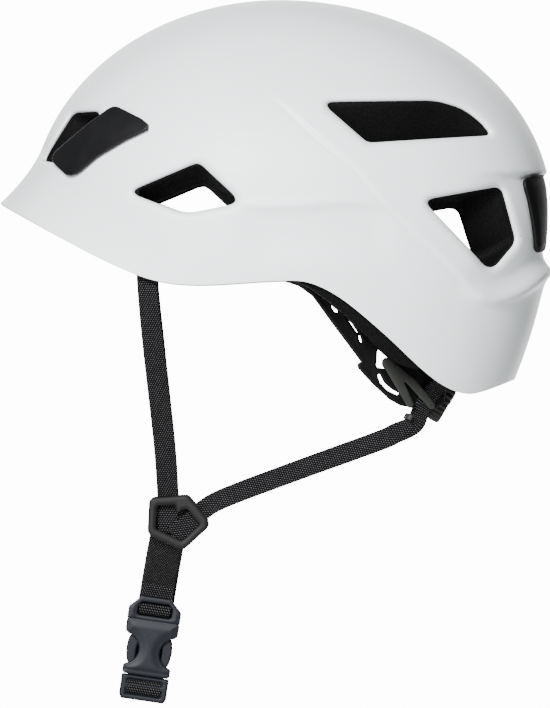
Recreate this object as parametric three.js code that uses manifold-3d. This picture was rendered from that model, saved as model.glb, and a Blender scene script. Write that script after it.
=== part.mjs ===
// A climbing helmet: hard outer shell over a foam liner, an adjustable headband with a geared nape wheel,
// four headlamp clips, and a Y-shaped chin strap with dividers and a side-release buckle.
//
// Millimetres. +Z is up, the wearer faces -Y and the wearer's left is +X.
// The origin is the centre of the head opening, level with the brow.

import * as THREE from "three";
import { mergeVertices } from "three/addons/utils/BufferGeometryUtils.js";
import Module from "manifold-3d";

const wasm = await Module();
wasm.setup();

// ---------------------------------------------------------------- driving dimensions

const crownHeight = 130;
const beltHeight = 20; // level at which the shell is widest
const axisY = 5; // the crown point lies on a vertical axis at this Y
const frontReach = 129.5; // axis to shell, forward, at the belt
const rearReach = 141.5;
const halfWidth = 110.5;
const lowerTaper = 0.0025; // how fast the wall draws in below the belt
const visorReach = 16; // how far the brim flares out beyond the dome
const visorHeight = 30;

const shellThickness = 2.4;
const linerGap = 0.8; // between shell and liner
const linerInset = 22; // outer shell surface to the liner's inner face
// The liner is cut back here, low at the rear, to leave room for the strap forks: two corners.
const forkRelief = [
  [40, 50, -80],
  [80.5, 94, -47],
];

const ringHalfWidth = 80; // headband ring, seen from above
const ringFront = 96;
const bandThickness = 1.8;

const webWidth = 11;
const webThickness = 1.2;

const pinionTeeth = 10;
const gearModule = 1.2;
const wheelRadius = 15;
const wheelThickness = 7;

const gap = 0.35; // between pieces that touch on the real helmet

// The shell's lower edge and the liner's lower edge, seen from the side: [Y, Z].
const shellRim = [
  [-140.4, 24.3],
  [-111, 7.7],
  [-82, -7.5],
  [-60, -16],
  [-38, -18.5],
  [5, -16.4],
  [20, -17.3],
  [36, -25],
  [57, -42],
  [82, -65],
  [95, -73],
  [106, -74.6],
  [128.8, -67],
];
const linerRim = [
  [-120, 30],
  [-100, 14],
  [-75, -4],
  [-45, -13],
  [0, -13],
  [16, -17],
  [34, -29],
  [56, -49],
  [68, -58],
  [84, -60],
  [105, -50],
  [125, -44],
];

// Vent outlines seen from the side: [Y, Z, corner radius]. Each runs counter-clockwise.
const vents = {
  brow: [
    [-121, 47, 2],
    [-106, 45, 4],
    [-87, 71.5, 2.5],
    [-104, 70.5, 8],
  ],
  temple: [
    [-73.5, 29.5, 3],
    [-44, 18.3, 20],
    [-14.8, 24, 4],
    [-37, 44.8, 5],
  ],
  crown: [
    [26.5, 76.8, 3],
    [52, 55.6, 7],
    [116, 60.3, 2.5],
    [92, 78, 18],
  ],
  nape: [
    [79, 25.5, 3.5],
    [115.5, -12, 7],
    [131.2, 3.5, 6],
    [121.5, 33, 6],
  ],
};
// Each vent's tunnel comes out of the liner's inner face shifted by Y and Z and scaled.
const tunnels = {
  brow: [22, -14, 0.8],
  temple: [3, -10, 0.96],
  crown: [-8, -26, 0.9],
  nape: [-24, -9.5, 0.95],
};

// ---------------------------------------------------------------- solids and geometries

const V = (x, y, z) => new THREE.Vector3(x, y, z);

function solidOf(geometry) {
  const bare = geometry.index ? geometry.toNonIndexed() : geometry.clone();
  bare.deleteAttribute("normal");
  bare.deleteAttribute("uv");
  const merged = mergeVertices(bare, 1e-4);
  return new wasm.Manifold(
    new wasm.Mesh({
      numProp: 3,
      vertProperties: new Float32Array(merged.attributes.position.array),
      triVerts: new Uint32Array(merged.index.array),
    }),
  );
}

function geometryOf(solid) {
  const mesh = solid.getMesh();
  const geometry = new THREE.BufferGeometry();
  geometry.setAttribute("position", new THREE.BufferAttribute(mesh.vertProperties, 3));
  geometry.setIndex(new THREE.BufferAttribute(mesh.triVerts, 1));
  return geometry;
}

const cut = (body, ...tools) => tools.reduce((left, tool) => left.subtract(tool), body);
const join = (first, ...others) => others.reduce((sum, other) => sum.add(other), first);

// The same solid on the other side of the helmet.
function mirrored(solid) {
  const geometry = geometryOf(solid);
  geometry.applyMatrix4(new THREE.Matrix4().makeScale(-1, 1, 1));
  const index = geometry.index.array;
  for (let i = 0; i < index.length; i += 3) {
    [index[i + 1], index[i + 2]] = [index[i + 2], index[i + 1]];
  }
  return solidOf(geometry);
}

// A closed outline with rounded corners; each corner is [x, y, radius].
function roundedShape(corners, steps = 5) {
  const points = [];
  corners.forEach(([x, y, radius = 0], i) => {
    const here = new THREE.Vector2(x, y);
    const before = corners.at(i - 1);
    const after = corners[(i + 1) % corners.length];
    const back = new THREE.Vector2(before[0], before[1]).sub(here);
    const ahead = new THREE.Vector2(after[0], after[1]).sub(here);
    const half = Math.abs(back.angleTo(ahead)) / 2;
    const room = 0.48 * Math.min(back.length(), ahead.length());
    const reach = Math.min(radius / Math.tan(half), room);
    if (reach < 0.05) {
      points.push(here);
      return;
    }
    const start = here.clone().addScaledVector(back.normalize(), reach);
    const end = here.clone().addScaledVector(ahead.normalize(), reach);
    points.push(...new THREE.QuadraticBezierCurve(start, here, end).getPoints(steps));
  });
  return new THREE.Shape(points);
}

// A prism of a shape, from one level to another along the frame's third axis.
function prism(shape, from, to, frame = new THREE.Matrix4(), curveSegments = 6) {
  const geometry = new THREE.ExtrudeGeometry(shape, { depth: to - from, bevelEnabled: false, curveSegments });
  geometry.translate(0, 0, from);
  geometry.applyMatrix4(frame);
  return solidOf(geometry);
}

function block(low, high, frame = new THREE.Matrix4()) {
  const size = high.map((value, i) => value - low[i]);
  const geometry = new THREE.BoxGeometry(...size);
  geometry.translate(...high.map((value, i) => (value + low[i]) / 2));
  geometry.applyMatrix4(frame);
  return solidOf(geometry);
}

// A round bar along the frame's third axis.
function rod(radius, from, to, frame = new THREE.Matrix4(), sides = 24) {
  const geometry = new THREE.CylinderGeometry(radius, radius, to - from, sides);
  geometry.rotateX(Math.PI / 2);
  geometry.translate(0, 0, (from + to) / 2);
  geometry.applyMatrix4(frame);
  return solidOf(geometry);
}

// A frame from an origin, its first axis and its third axis.
function frameAt(origin, first, third) {
  const z = third.clone().normalize();
  const x = first.clone().addScaledVector(z, -first.dot(z)).normalize();
  const y = z.clone().cross(x);
  return new THREE.Matrix4().makeBasis(x, y, z).setPosition(origin);
}

// Shapes drawn as [Y, Z] and extruded along X.
const sideFrame = new THREE.Matrix4().makeBasis(V(0, 1, 0), V(0, 0, 1), V(1, 0, 0));

// A flat strip swept along a smooth path. Each stop is [centre, direction of the strip's width].
function strip(stops, width, thickness, steps) {
  const path = new THREE.CatmullRomCurve3(stops.map((stop) => stop[0]), false, "centripetal");
  const across = new THREE.CatmullRomCurve3(stops.map((stop) => stop[1]), false, "catmullrom");
  const corners = [];
  for (let i = 0; i <= steps; i++) {
    const u = i / steps;
    const tangent = path.getTangent(u);
    const wide = across.getPoint(u);
    wide.addScaledVector(tangent, -wide.dot(tangent)).normalize();
    const thick = tangent.clone().cross(wide);
    const centre = path.getPoint(u);
    for (const [a, b] of [[1, 1], [-1, 1], [-1, -1], [1, -1]]) {
      const corner = centre.clone();
      corner.addScaledVector(wide, (a * width) / 2).addScaledVector(thick, (b * thickness) / 2);
      corners.push(corner);
    }
  }
  const faces = [[0, 2, 1], [0, 3, 2]];
  for (let i = 0; i < steps; i++) {
    for (let k = 0; k < 4; k++) {
      const a = 4 * i + k;
      const b = 4 * i + ((k + 1) % 4);
      faces.push([a, b, b + 4], [a, b + 4, a + 4]);
    }
  }
  const last = 4 * steps;
  faces.push([last, last + 1, last + 2], [last, last + 2, last + 3]);
  return meshSolid(corners, faces);
}

// A solid from points and triangles, turned outwards if need be.
function meshSolid(points, faces) {
  const geometry = new THREE.BufferGeometry().setFromPoints(points);
  geometry.setIndex(faces.flat());
  const solid = solidOf(geometry);
  if (solid.volume() > 0) return solid;
  geometry.setIndex(faces.map(([a, b, c]) => [a, c, b]).flat());
  return solidOf(geometry);
}

// ---------------------------------------------------------------- the helmet's form

const smoothstep = (from, to, x) => {
  const t = Math.min(Math.max((x - from) / (to - from), 0), 1);
  return t * t * (3 - 2 * t);
};

// A smooth curve through points [x, value], held level past its ends.
function curveThrough(points) {
  const slopes = points.map((_, i) => {
    const a = points[Math.max(i - 1, 0)];
    const b = points[Math.min(i + 1, points.length - 1)];
    return (b[1] - a[1]) / (b[0] - a[0]);
  });
  return (x) => {
    const after = points.findIndex((point) => point[0] > x);
    if (after === 0) return points[0][1];
    if (after < 0) return points.at(-1)[1];
    const [x0, v0] = points[after - 1];
    const [x1, v1] = points[after];
    const span = x1 - x0;
    const t = (x - x0) / span;
    const keep = (1 + 2 * t) * (1 - t) ** 2 * v0 + t * t * (3 - 2 * t) * v1;
    return keep + span * t * (1 - t) * ((1 - t) * slopes[after - 1] - t * slopes[after]);
  };
}

const shellRimHeight = curveThrough(shellRim);
const linerRimHeight = curveThrough(linerRim);

// Horizontal reach of the belt line at an azimuth: 0 is forward, 90 degrees is the wearer's left.
function planRadius(azimuth) {
  const forward = Math.cos(azimuth) > 0;
  const along = Math.abs(Math.cos(azimuth)) / (forward ? frontReach : rearReach);
  const across = Math.abs(Math.sin(azimuth)) / halfWidth;
  const power = forward ? 2.15 : 2.3;
  return (along ** power + across ** power) ** (-1 / power);
}

// The recess across the back, under which a headlamp's band runs behind its clips.
function rearRecess(azimuth, z) {
  const around = smoothstep(2.05, 2.65, Math.PI - Math.abs(Math.PI - azimuth));
  const ridge = -14 - 11 * (1 - smoothstep(2.65, 3.1, Math.PI - Math.abs(Math.PI - azimuth)));
  return 3.2 * around * (1 - smoothstep(34, 41, z)) * smoothstep(ridge, ridge + 9, z);
}

function domeRadius(azimuth, z) {
  const above = Math.min(Math.max(z - beltHeight, 0) / (crownHeight - beltHeight), 1);
  const below = Math.max(beltHeight - z, 0);
  const fullness = 2 + 0.25 * Math.sin(azimuth) ** 2;
  const dome = planRadius(azimuth) * (1 - above ** 2) ** (1 / fullness);
  return dome - lowerTaper * below ** 2 - rearRecess(azimuth, z);
}

function visorFlare(azimuth, z, rimZ) {
  const turn = Math.min(azimuth, 2 * Math.PI - azimuth);
  const reach = visorReach * Math.max(Math.cos(1.2 * Math.min(turn, 1.3)), 0) ** 2;
  return reach * Math.max(1 - (z - rimZ) / visorHeight, 0) ** 1.95;
}

// Height of a rim at an azimuth, where the rim is drawn as seen from the side.
function rimAt(azimuth, rimHeight, flared) {
  let z = 0;
  for (let i = 0; i < 12; i++) {
    const reach = domeRadius(azimuth, z) + (flared ? visorFlare(azimuth, z, z) : 0);
    z = rimHeight(axisY - reach * Math.cos(azimuth));
  }
  return z;
}

// A point of the dome: rise runs from 0 at the rim to 1 at the crown.
function domePoint(azimuth, rise, rimZ, flared) {
  const domeHeight = crownHeight - beltHeight;
  const lift = (rimZ - beltHeight) / domeHeight;
  const start = lift > 0 ? Math.asin(lift) : lift;
  const angle = start + rise * (Math.PI / 2 - start);
  const z = beltHeight + domeHeight * (angle > 0 ? Math.sin(angle) : angle);
  const reach = domeRadius(azimuth, z) + (flared ? visorFlare(azimuth, z, rimZ) : 0);
  return V(reach * Math.sin(azimuth), axisY - reach * Math.cos(azimuth), z);
}

function domeNormal(azimuth, rise, rimHeight, flared) {
  const step = 1e-3;
  const at = (a, r) => domePoint(a, r, rimAt(a, rimHeight, flared), flared);
  const around = at(azimuth + step, rise).sub(at(azimuth - step, rise));
  const up = at(azimuth, Math.min(rise + step, 0.9999)).sub(at(azimuth, rise - step));
  return around.cross(up).normalize();
}

// A closed bowl between two insets from the dome, down to a rim.
function bowl(rimHeight, outerInset, innerInset, flared, around, levels) {
  const points = [];
  const layer = (inset) => {
    const first = points.length;
    for (let i = 0; i < around; i++) {
      const azimuth = (2 * Math.PI * i) / around;
      const rimZ = rimAt(azimuth, rimHeight, flared);
      for (let j = 0; j < levels; j++) {
        const rise = j / levels;
        const point = domePoint(azimuth, rise, rimZ, flared);
        const out = domeNormal(azimuth, Math.max(rise, 2e-3), rimHeight, flared);
        points.push(point.addScaledVector(out, -inset));
      }
    }
    points.push(V(0, axisY, crownHeight - inset));
    return first;
  };
  const outer = layer(outerInset);
  const inner = layer(innerInset);
  const faces = [];
  for (let i = 0; i < around; i++) {
    const next = (i + 1) % around;
    for (const [first, flip] of [[outer, false], [inner, true]]) {
      const a = first + i * levels;
      const b = first + next * levels;
      const crown = first + around * levels;
      const add = (p, q, r) => faces.push(flip ? [p, r, q] : [p, q, r]);
      for (let j = 0; j < levels - 1; j++) {
        add(a + j, b + j, b + j + 1);
        add(a + j, b + j + 1, a + j + 1);
      }
      add(a + levels - 1, b + levels - 1, crown);
    }
    const [oa, ob] = [outer + i * levels, outer + next * levels];
    const [ia, ib] = [inner + i * levels, inner + next * levels];
    faces.push([oa, ia, ib], [oa, ib, ob]);
  }
  return meshSolid(points, faces);
}

// Where the dome is, seen from the side at [y, z] on the wearer's left, and which way it faces.
function sideSpot(y, z) {
  let low = 1e-3;
  let high = Math.PI - 1e-3;
  for (let i = 0; i < 40; i++) {
    const middle = (low + high) / 2;
    if (axisY - domeRadius(middle, z) * Math.cos(middle) < y) low = middle;
    else high = middle;
  }
  const azimuth = (low + high) / 2;
  const reach = (a, level) => {
    const radius = domeRadius(a, level);
    return V(radius * Math.sin(a), axisY - radius * Math.cos(a), level);
  };
  const around = reach(azimuth + 0.01, z).sub(reach(azimuth - 0.01, z));
  const up = reach(azimuth, z + 0.5).sub(reach(azimuth, z - 0.5));
  const out = around.clone().cross(up).normalize();
  return { point: reach(azimuth, z), out, around: around.normalize() };
}

// ---------------------------------------------------------------- shell, liner and pads

const shellAround = 64;
const shellLevels = 16;
const linerAround = 48;
const linerLevels = 12;
const outward = 140; // beyond the shell's widest point

const ventCutter = (name) => prism(roundedShape(vents[name]), 8, outward, sideFrame);

// Where a ray along X, at [y, z], meets the liner's inner face.
function innerX(y, z) {
  const shrink = (reach) => (reach - linerInset) / reach;
  const height = (z - beltHeight) / (crownHeight - beltHeight - linerInset);
  const level = beltHeight + (height > 0 ? height * (crownHeight - beltHeight) : z - beltHeight);
  const along = y > axisY ? shrink(rearReach) : shrink(frontReach);
  return sideSpot(axisY + (y - axisY) / along, level).point.x * shrink(halfWidth);
}

// A tunnel through the liner, from a vent's outline to the opening in the liner's inner face.
function tunnelCutter(name) {
  const overrun = 0.3; // past each face, as a share of the tunnel's length
  const [shiftY, shiftZ, scale] = tunnels[name];
  const outline = roundedShape(vents[name]).getPoints();
  if (outline[0].equals(outline.at(-1))) outline.pop();
  const total = outline.reduce((sum, point) => sum.add(point), new THREE.Vector2());
  const middle = total.divideScalar(outline.length);
  const outer = [];
  const inner = [];
  for (const { x: y, y: z } of outline) {
    const outside = V(sideSpot(y, z).point.x, y, z);
    const innerY = middle.x + (y - middle.x) * scale + shiftY;
    const innerZ = middle.y + (z - middle.y) * scale + shiftZ;
    const inside = V(innerX(innerY, innerZ), innerY, innerZ);
    const run = outside.clone().sub(inside).multiplyScalar(overrun);
    outer.push(outside.add(run));
    inner.push(inside.sub(run));
  }
  const count = outline.length;
  const cap = THREE.ShapeUtils.triangulateShape(outline, []);
  const faces = cap.map(([a, b, c]) => [a + count, c + count, b + count]);
  for (let i = 0; i < count; i++) {
    const k = (i + 1) % count;
    faces.push([i, i + count, k + count], [i, k + count, k]);
  }
  return meshSolid([...outer, ...inner], [...cap, ...faces]);
}

function bothSides(body, ...tools) {
  return cut(body, ...tools, ...tools.map(mirrored));
}

// A pocket into the dome's surface at [y, z]: a round hole between two insets.
function holeAt(y, z, radius, fromInset, toInset) {
  const spot = sideSpot(y, z);
  return rod(radius, -toInset, -fromInset, frameAt(spot.point, spot.around, spot.out), 20);
}

// A plate that lies on the dome: a side-view outline between two heights above the surface.
function plateOnDome(outline, nearX, low, high) {
  const layer = bowl(shellRimHeight, -high, -low, true, shellAround, shellLevels);
  return layer.intersect(prism(roundedShape(outline), nearX, outward, sideFrame));
}

const frontAnchor = [-66, -9];
const rearAnchor = [104, -60];
const anchorRadius = 5.5;
const anchorDepth = 2.6;
const anchorTop = -shellThickness - 0.8; // the disc is flat and the shell behind it is not
const clipFootRadius = 3;
const clipFootClearance = 0.7;
const frontClipFoot = [-74, 66];
const rearClipFoot = [137, 33];

function makeShell() {
  const names = Object.keys(vents);
  const openings = names.map(ventCutter);
  const feet = [frontClipFoot, rearClipFoot].map(([y, z]) =>
    holeAt(y, z, clipFootRadius + clipFootClearance, -2, shellThickness + 1),
  );
  const whole = bowl(shellRimHeight, 0, shellThickness, true, shellAround, shellLevels);
  return bothSides(whole, ...openings, ...feet);
}

function makeLiner() {
  const passages = Object.keys(vents).map(tunnelCutter);
  const feet = [frontClipFoot, rearClipFoot].map(([y, z]) => holeAt(y, z, clipFootRadius + 1.5, 0, 9));
  const anchorHole = ([y, z]) => holeAt(y, z, anchorRadius + 5, 0, anchorDepth + 9);
  const anchors = [frontAnchor, rearAnchor].map(anchorHole);
  const outerInset = shellThickness + linerGap;
  const whole = bowl(linerRimHeight, outerInset, linerInset, false, linerAround, linerLevels);
  return bothSides(whole, ...passages, ...feet, ...anchors, block(...forkRelief));
}

function makeCrownPad() {
  const reach = 42;
  const arm = 13;
  const corners = [
    [reach, -arm, 5],
    [reach, arm, 5],
    [arm, arm, 8],
    [arm, reach, 5],
    [-arm, reach, 5],
    [-arm, arm, 8],
    [-reach, arm, 5],
    [-reach, -arm, 5],
    [-arm, -arm, 8],
    [-arm, -reach, 5],
    [arm, -reach, 5],
    [arm, -arm, 8],
  ];
  const thickness = 6;
  const low = linerInset + gap;
  const layer = bowl(linerRimHeight, low, low + thickness, false, linerAround, linerLevels);
  const lift = new THREE.Matrix4().makeTranslation(0, axisY, 0);
  return layer.intersect(prism(roundedShape(corners, 3), 60, crownHeight, lift));
}

// ---------------------------------------------------------------- headband and side arms

const bandFrontZ = 10; // centre of the band at the brow
const bandTempleZ = -3;
const templeY = 4;
const bandWidth = 20;
const padThickness = 6;
const armThickness = 1.8;
const armBend = 0.0034; // the side arms curve inwards towards the nape

// A point of the headband ring; turn 0 is the brow, 90 degrees is the wearer's left temple.
function ringPoint(turn, inset = 0) {
  const x = (ringHalfWidth - inset) * Math.sin(turn);
  const y = templeY - (ringFront + templeY - inset) * Math.cos(turn);
  const z = bandTempleZ + (bandFrontZ - bandTempleZ) * Math.cos(turn) ** 2;
  return V(x, y, z);
}

function ringStrip(halfTurn, inset, width, thickness, steps) {
  const stops = [];
  for (let i = 0; i <= 12; i++) {
    const turn = halfTurn * (1 - i / 6);
    stops.push([ringPoint(turn, inset), V(0, 0, 1)]);
  }
  return strip(stops, width, thickness, steps);
}

function makeHeadband() {
  const halfTurn = 1.5;
  const pinHole = rod(3, -100, 100, frameAt(V(0, templeY - 5, bandTempleZ), V(0, 1, 0), V(1, 0, 0)));
  return cut(ringStrip(halfTurn, 0, bandWidth, bandThickness, 48), pinHole);
}

function makeForeheadPad() {
  const inset = bandThickness / 2 + gap + padThickness / 2;
  return ringStrip(0.75, inset, bandWidth - 3, padThickness, 24);
}

const pinY = templeY - 5;
const pinHead = 6;
const pinRadius = 2.4;

// The pin through band and arm at the temple; its foot sits in the liner's inner face.
function makeTemplePin() {
  const frame = frameAt(V(0, pinY, bandTempleZ), V(0, 1, 0), V(1, 0, 0));
  const inside = ringHalfWidth - 6;
  const head = rod(pinHead, inside, inside + 1.6, frame);
  const shank = rod(pinRadius, inside + 1, ringHalfWidth + 3.4, frame);
  return join(head, shank);
}

const armOutline = [
  [-8, 5, 6],
  [-8, -10, 6],
  [10, -17.5, 8],
  [29, -33, 10],
  [47.5, -58, 6],
  [52.6, -69, 8],
  [67, -81.5, 5],
  [78, -84, 3],
  [84.5, -82, 2],
  [80, -71, 4],
  [66, -60, 8],
  [52, -47, 10],
  [35, -26, 10],
  [14, -4, 10],
  [6, 5, 6],
];
const armHoles = [
  [
    [25, -20, 1],
    [31, -27, 1],
    [26, -26, 1],
  ],
  [
    [33, -28.5, 1],
    [40, -37.5, 1],
    [34.5, -35.5, 1],
  ],
  [
    [42.5, -38, 1],
    [47.5, -44.5, 1],
    [43.5, -45.5, 1],
  ],
  [
    [49.5, -49, 1],
    [59, -57.5, 1],
    [56, -63, 2],
    [51, -57, 1],
  ],
  [
    [60.5, -62, 1],
    [74, -74, 1],
    [70, -78, 2],
    [57, -69.5, 2],
  ],
];

const armX = (y) => ringHalfWidth - 2.8 - armBend * (y + 8) ** 2;

// A plate drawn from the side and bent to follow the arm, at an offset outside it.
function bentPlate(shape, offset, thickness) {
  const options = { depth: thickness, bevelEnabled: false, curveSegments: 8 };
  const geometry = new THREE.ExtrudeGeometry(shape, options);
  geometry.applyMatrix4(sideFrame);
  const position = geometry.attributes.position;
  for (let i = 0; i < position.count; i++) {
    position.setX(i, position.getX(i) + armX(position.getY(i)) + offset - thickness / 2);
  }
  return solidOf(geometry);
}

function makeSideArm() {
  const shape = roundedShape(armOutline);
  const pinHole = new THREE.Path().absarc(pinY, bandTempleZ, pinRadius + gap, 0, 2 * Math.PI, true);
  shape.holes = [...armHoles.map((hole) => roundedShape(hole, 3)), pinHole];
  return bentPlate(shape, 0, armThickness);
}

// The grey fork outside the arm's rear end; the rear strap runs between its prongs and the arm.
const forkOffset = 5.6;
const forkOutline = [
  [57, -56.5, 2],
  [61, -53.5, 2],
  [75.5, -66, 3],
  [88, -81.5, 1],
  [84.8, -83.6, 1],
  [72, -68.5, 2],
  [66, -63, 2],
  [77, -80.8, 1],
  [73.8, -82.4, 1],
  [61.5, -68, 6],
];
const forkPost = [62, -59.5];

function makeFork() {
  const [y, z] = forkPost;
  const frame = frameAt(V(0, y, z), V(0, 1, 0), V(1, 0, 0));
  const post = rod(2.2, armX(y) + armThickness / 2 + 1.2, armX(y) + forkOffset, frame, 16);
  return join(bentPlate(roundedShape(forkOutline), forkOffset, 2.2), post);
}

// ---------------------------------------------------------------- nape adjuster

// The adjuster's frame: X stays X, the second axis points down the nape, the third is the wheel's axis.
const wheelAxis = V(0, 0.867, -0.498).normalize();
const napeOrigin = V(0, 86, -72.5);
const napeFrame = frameAt(napeOrigin, V(1, 0, 0), wheelAxis);

const gearPitch = Math.PI * gearModule;
const pitchRadius = (pinionTeeth * gearModule) / 2;
const toothTip = 1; // tooth height above the pitch line
const toothRoot = 1.5;
const toothShare = 0.38; // tooth width over pitch; the rest is backlash

const housingHalfLength = 34;
const housingHalfHeight = 14.5;
const housingFront = -7;
const rackFront = -4;
const rackRear = 0;
const coverRear = 2.6;
const wheelFront = 3;
const rackBack = 11; // pitch line to the rack's plain edge, from the wheel's axis
const rackReach = 47;
const rackInner = -18;
const screwRadius = 1.6;

function makePinion() {
  const corners = [];
  for (let i = 0; i < pinionTeeth; i++) {
    const middle = (2 * Math.PI * i) / pinionTeeth + Math.PI / 2;
    const half = (toothShare * Math.PI) / pinionTeeth;
    const spots = [
      [pitchRadius - toothRoot, middle - 1.9 * half],
      [pitchRadius + toothTip, middle - 0.55 * half],
      [pitchRadius + toothTip, middle + 0.55 * half],
      [pitchRadius - toothRoot, middle + 1.9 * half],
    ];
    corners.push(...spots.map(([r, a]) => new THREE.Vector2(r * Math.cos(a), r * Math.sin(a))));
  }
  const body = prism(new THREE.Shape(corners), rackFront + gap, wheelFront - gap, napeFrame);
  return cut(body, rod(screwRadius + gap, -10, 20, napeFrame, 20));
}

// The left rack runs below the pinion; the right one is the same turned half a turn about the wheel's axis.
function makeRack(side) {
  const edge = pitchRadius + toothRoot;
  const teeth = [];
  for (let k = -4; k < 5; k++) {
    const x = (k + 0.5) * gearPitch;
    const half = (toothShare * gearPitch) / 2;
    teeth.push([x - 1.5 * half, edge, 0], [x - 0.6 * half, pitchRadius - toothTip + 0.2, 0]);
    teeth.push([x + 0.6 * half, pitchRadius - toothTip + 0.2, 0], [x + 1.5 * half, edge, 0]);
  }
  const back = [
    [rackReach, edge, 0],
    [rackReach, rackBack, 0],
    [rackInner, rackBack, 0],
  ];
  const outline = [[rackInner, edge, 0], ...teeth, ...back];
  const bar = prism(roundedShape(outline), rackFront, rackRear, napeFrame);
  const plate = block([rackReach - 3, -6, rackFront], [rackReach, rackBack, rackRear], napeFrame);
  const rack = join(bar, plate);
  if (side > 0) return rack;
  const turn = new THREE.Matrix4().makeRotationAxis(wheelAxis, Math.PI);
  const about = new THREE.Matrix4().makeTranslation(napeOrigin);
  about.multiply(turn).multiply(new THREE.Matrix4().makeTranslation(napeOrigin.clone().negate()));
  const geometry = geometryOf(rack);
  geometry.applyMatrix4(about);
  return solidOf(geometry);
}

function slab(halfLength, halfHeight, radius) {
  return roundedShape([
    [halfLength, -halfHeight, radius],
    [halfLength, halfHeight, radius],
    [-halfLength, halfHeight, radius],
    [-halfLength, -halfHeight, radius],
  ]);
}

function makeHousing() {
  const body = prism(slab(housingHalfLength, housingHalfHeight, 8), housingFront, rackRear + gap, napeFrame);
  const inside = housingHalfLength - 3;
  const room = rackBack + gap;
  const cavity = block([-inside, -room, rackFront - gap], [inside, room, rackRear + 2], napeFrame);
  const leftMouth = block([0, pitchRadius + toothRoot - gap, rackFront - gap], [60, room, 2], napeFrame);
  const rightMouth = block([-60, -room, rackFront - gap], [0, -pitchRadius - toothRoot + gap, 2], napeFrame);
  return cut(body, cavity, leftMouth, rightMouth);
}

function makeCover() {
  const outline = slab(housingHalfLength, housingHalfHeight, 8);
  const plate = prism(outline, rackRear + 2 * gap, coverRear, napeFrame);
  return cut(plate, rod(pitchRadius + toothTip + gap, -2, 6, napeFrame, 32));
}

function makeWheel() {
  const ribs = 30;
  const points = [];
  for (let i = 0; i < 4 * ribs; i++) {
    const angle = (2 * Math.PI * i) / (4 * ribs);
    const radius = wheelRadius - (i % 4 < 2 ? 0 : 1.1);
    points.push(new THREE.Vector2(radius * Math.cos(angle), radius * Math.sin(angle)));
  }
  const body = prism(new THREE.Shape(points), wheelFront, wheelFront + wheelThickness, napeFrame);
  const dish = rod(wheelRadius - 4, wheelFront + wheelThickness - 1.5, 20, napeFrame, 32);
  return cut(body, dish, rod(screwRadius + gap, -10, 20, napeFrame, 20));
}

function makeWheelScrew() {
  const head = rod(3.4, wheelFront + wheelThickness - 1.2, wheelFront + wheelThickness + 0.4, napeFrame);
  return join(head, rod(screwRadius, -1, wheelFront + wheelThickness - 1, napeFrame));
}

function makeNapePad() {
  const outline = slab(housingHalfLength - 4, housingHalfHeight - 2, 6);
  return prism(outline, housingFront - 5, housingFront - gap, napeFrame);
}

// ---------------------------------------------------------------- headlamp clips

const clipLift = 0.8; // clearance under a clip
const clipThickness = 2.4;
const frontClipOutline = [
  [-114, 45.5, 3],
  [-102, 37, 5],
  [-86, 48.5, 12],
  [-60, 61.5, 4],
  [-64, 66, 3],
  [-79, 74.5, 5],
  [-101, 60.5, 12],
];
const rearClipOutline = [
  [128.8, 36, 2],
  [134, 17, 12],
  [137.2, -1, 2],
  [146, 3, 4],
  [148, 18, 10],
  [146, 36, 3],
];

const rearClipInner = 24; // from the helmet's middle to the rear clip's inner edge

function makeClip(outline, nearX, foot) {
  const spot = sideSpot(...foot);
  const frame = frameAt(spot.point, spot.around, spot.out);
  const plate = plateOnDome(outline, nearX, clipLift, clipLift + clipThickness);
  const shank = rod(clipFootRadius, -shellThickness - 3, clipLift + 1, frame, 16);
  return join(plate, shank);
}

// ---------------------------------------------------------------- straps

const dividerX = 38;
const dividerThickness = 3;
const dividerOutline = [
  [-62, -129, 3],
  [-64, -148.5, 4],
  [-45.4, -156, 4],
  [-31.5, -143.5, 3],
  [-32.5, -139, 3],
  [-42, -127.2, 3],
];
const dividerWindow = [
  [-58.4, -132, 1.5],
  [-59.8, -145.2, 1.5],
  [-45.4, -151.5, 2],
  [-36, -142.2, 1.5],
  [-45, -131.5, 1.5],
];

function makeDivider() {
  const shape = roundedShape(dividerOutline);
  shape.holes = [roundedShape(dividerWindow)];
  return prism(shape, dividerX, dividerX + dividerThickness, sideFrame);
}

function makeAnchor([y, z]) {
  const spot = sideSpot(y, z);
  const frame = frameAt(spot.point, spot.around, spot.out);
  return rod(anchorRadius, anchorTop - anchorDepth, anchorTop, frame, 24);
}

const strapFace = dividerX - gap - webThickness; // straps pass inside the divider

const guideCentre = V(54, 75.5, -90);
const guideAlong = V(0.15, -0.5, -0.85).normalize();
const guideAcross = V(-0.5, 0.8, -0.5);

// Where a strap leaves its anchor's inner face.
function strapStart(spot) {
  const depth = anchorDepth - anchorTop + gap + webThickness / 2;
  return spot.point.clone().addScaledVector(spot.out, -depth);
}

function makeFrontStrap() {
  const top = sideSpot(...frontAnchor);
  const start = strapStart(top);
  const stops = [
    [start, top.around],
    [start.clone().add(V(-2.5, 1, -16)), top.around],
    [V(70, -60, -60), V(0, 1, 0.1)],
    [V(50, -55.5, -100), V(0, 1, 0.1)],
    [V(strapFace + 1, -53.5, -124), V(0, 1, 0.05)],
    [V(strapFace - 1.5, -53, -139), V(0, 1, 0)],
  ];
  return strip(stops, webWidth, webThickness, 24);
}

function makeRearStrap() {
  const top = sideSpot(...rearAnchor);
  const start = strapStart(top);
  const across = V(0, 0.35, -0.94);
  const stops = [
    [start, top.around],
    [V(armX(86) + 3, 87, -70.5), guideAcross],
    [V(armX(81) + 2.9, 81, -79.5), guideAcross],
    [guideCentre, guideAcross],
    [V(53, 57, -99), across],
    [V(47, 16, -114), across],
    [V(strapFace + 2, -22, -128), across],
    [V(strapFace - 1.5, -37, -135.5), across],
  ];
  return strip(stops, webWidth - 1, webThickness, 32);
}

// ---------------------------------------------------------------- buckle

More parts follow.
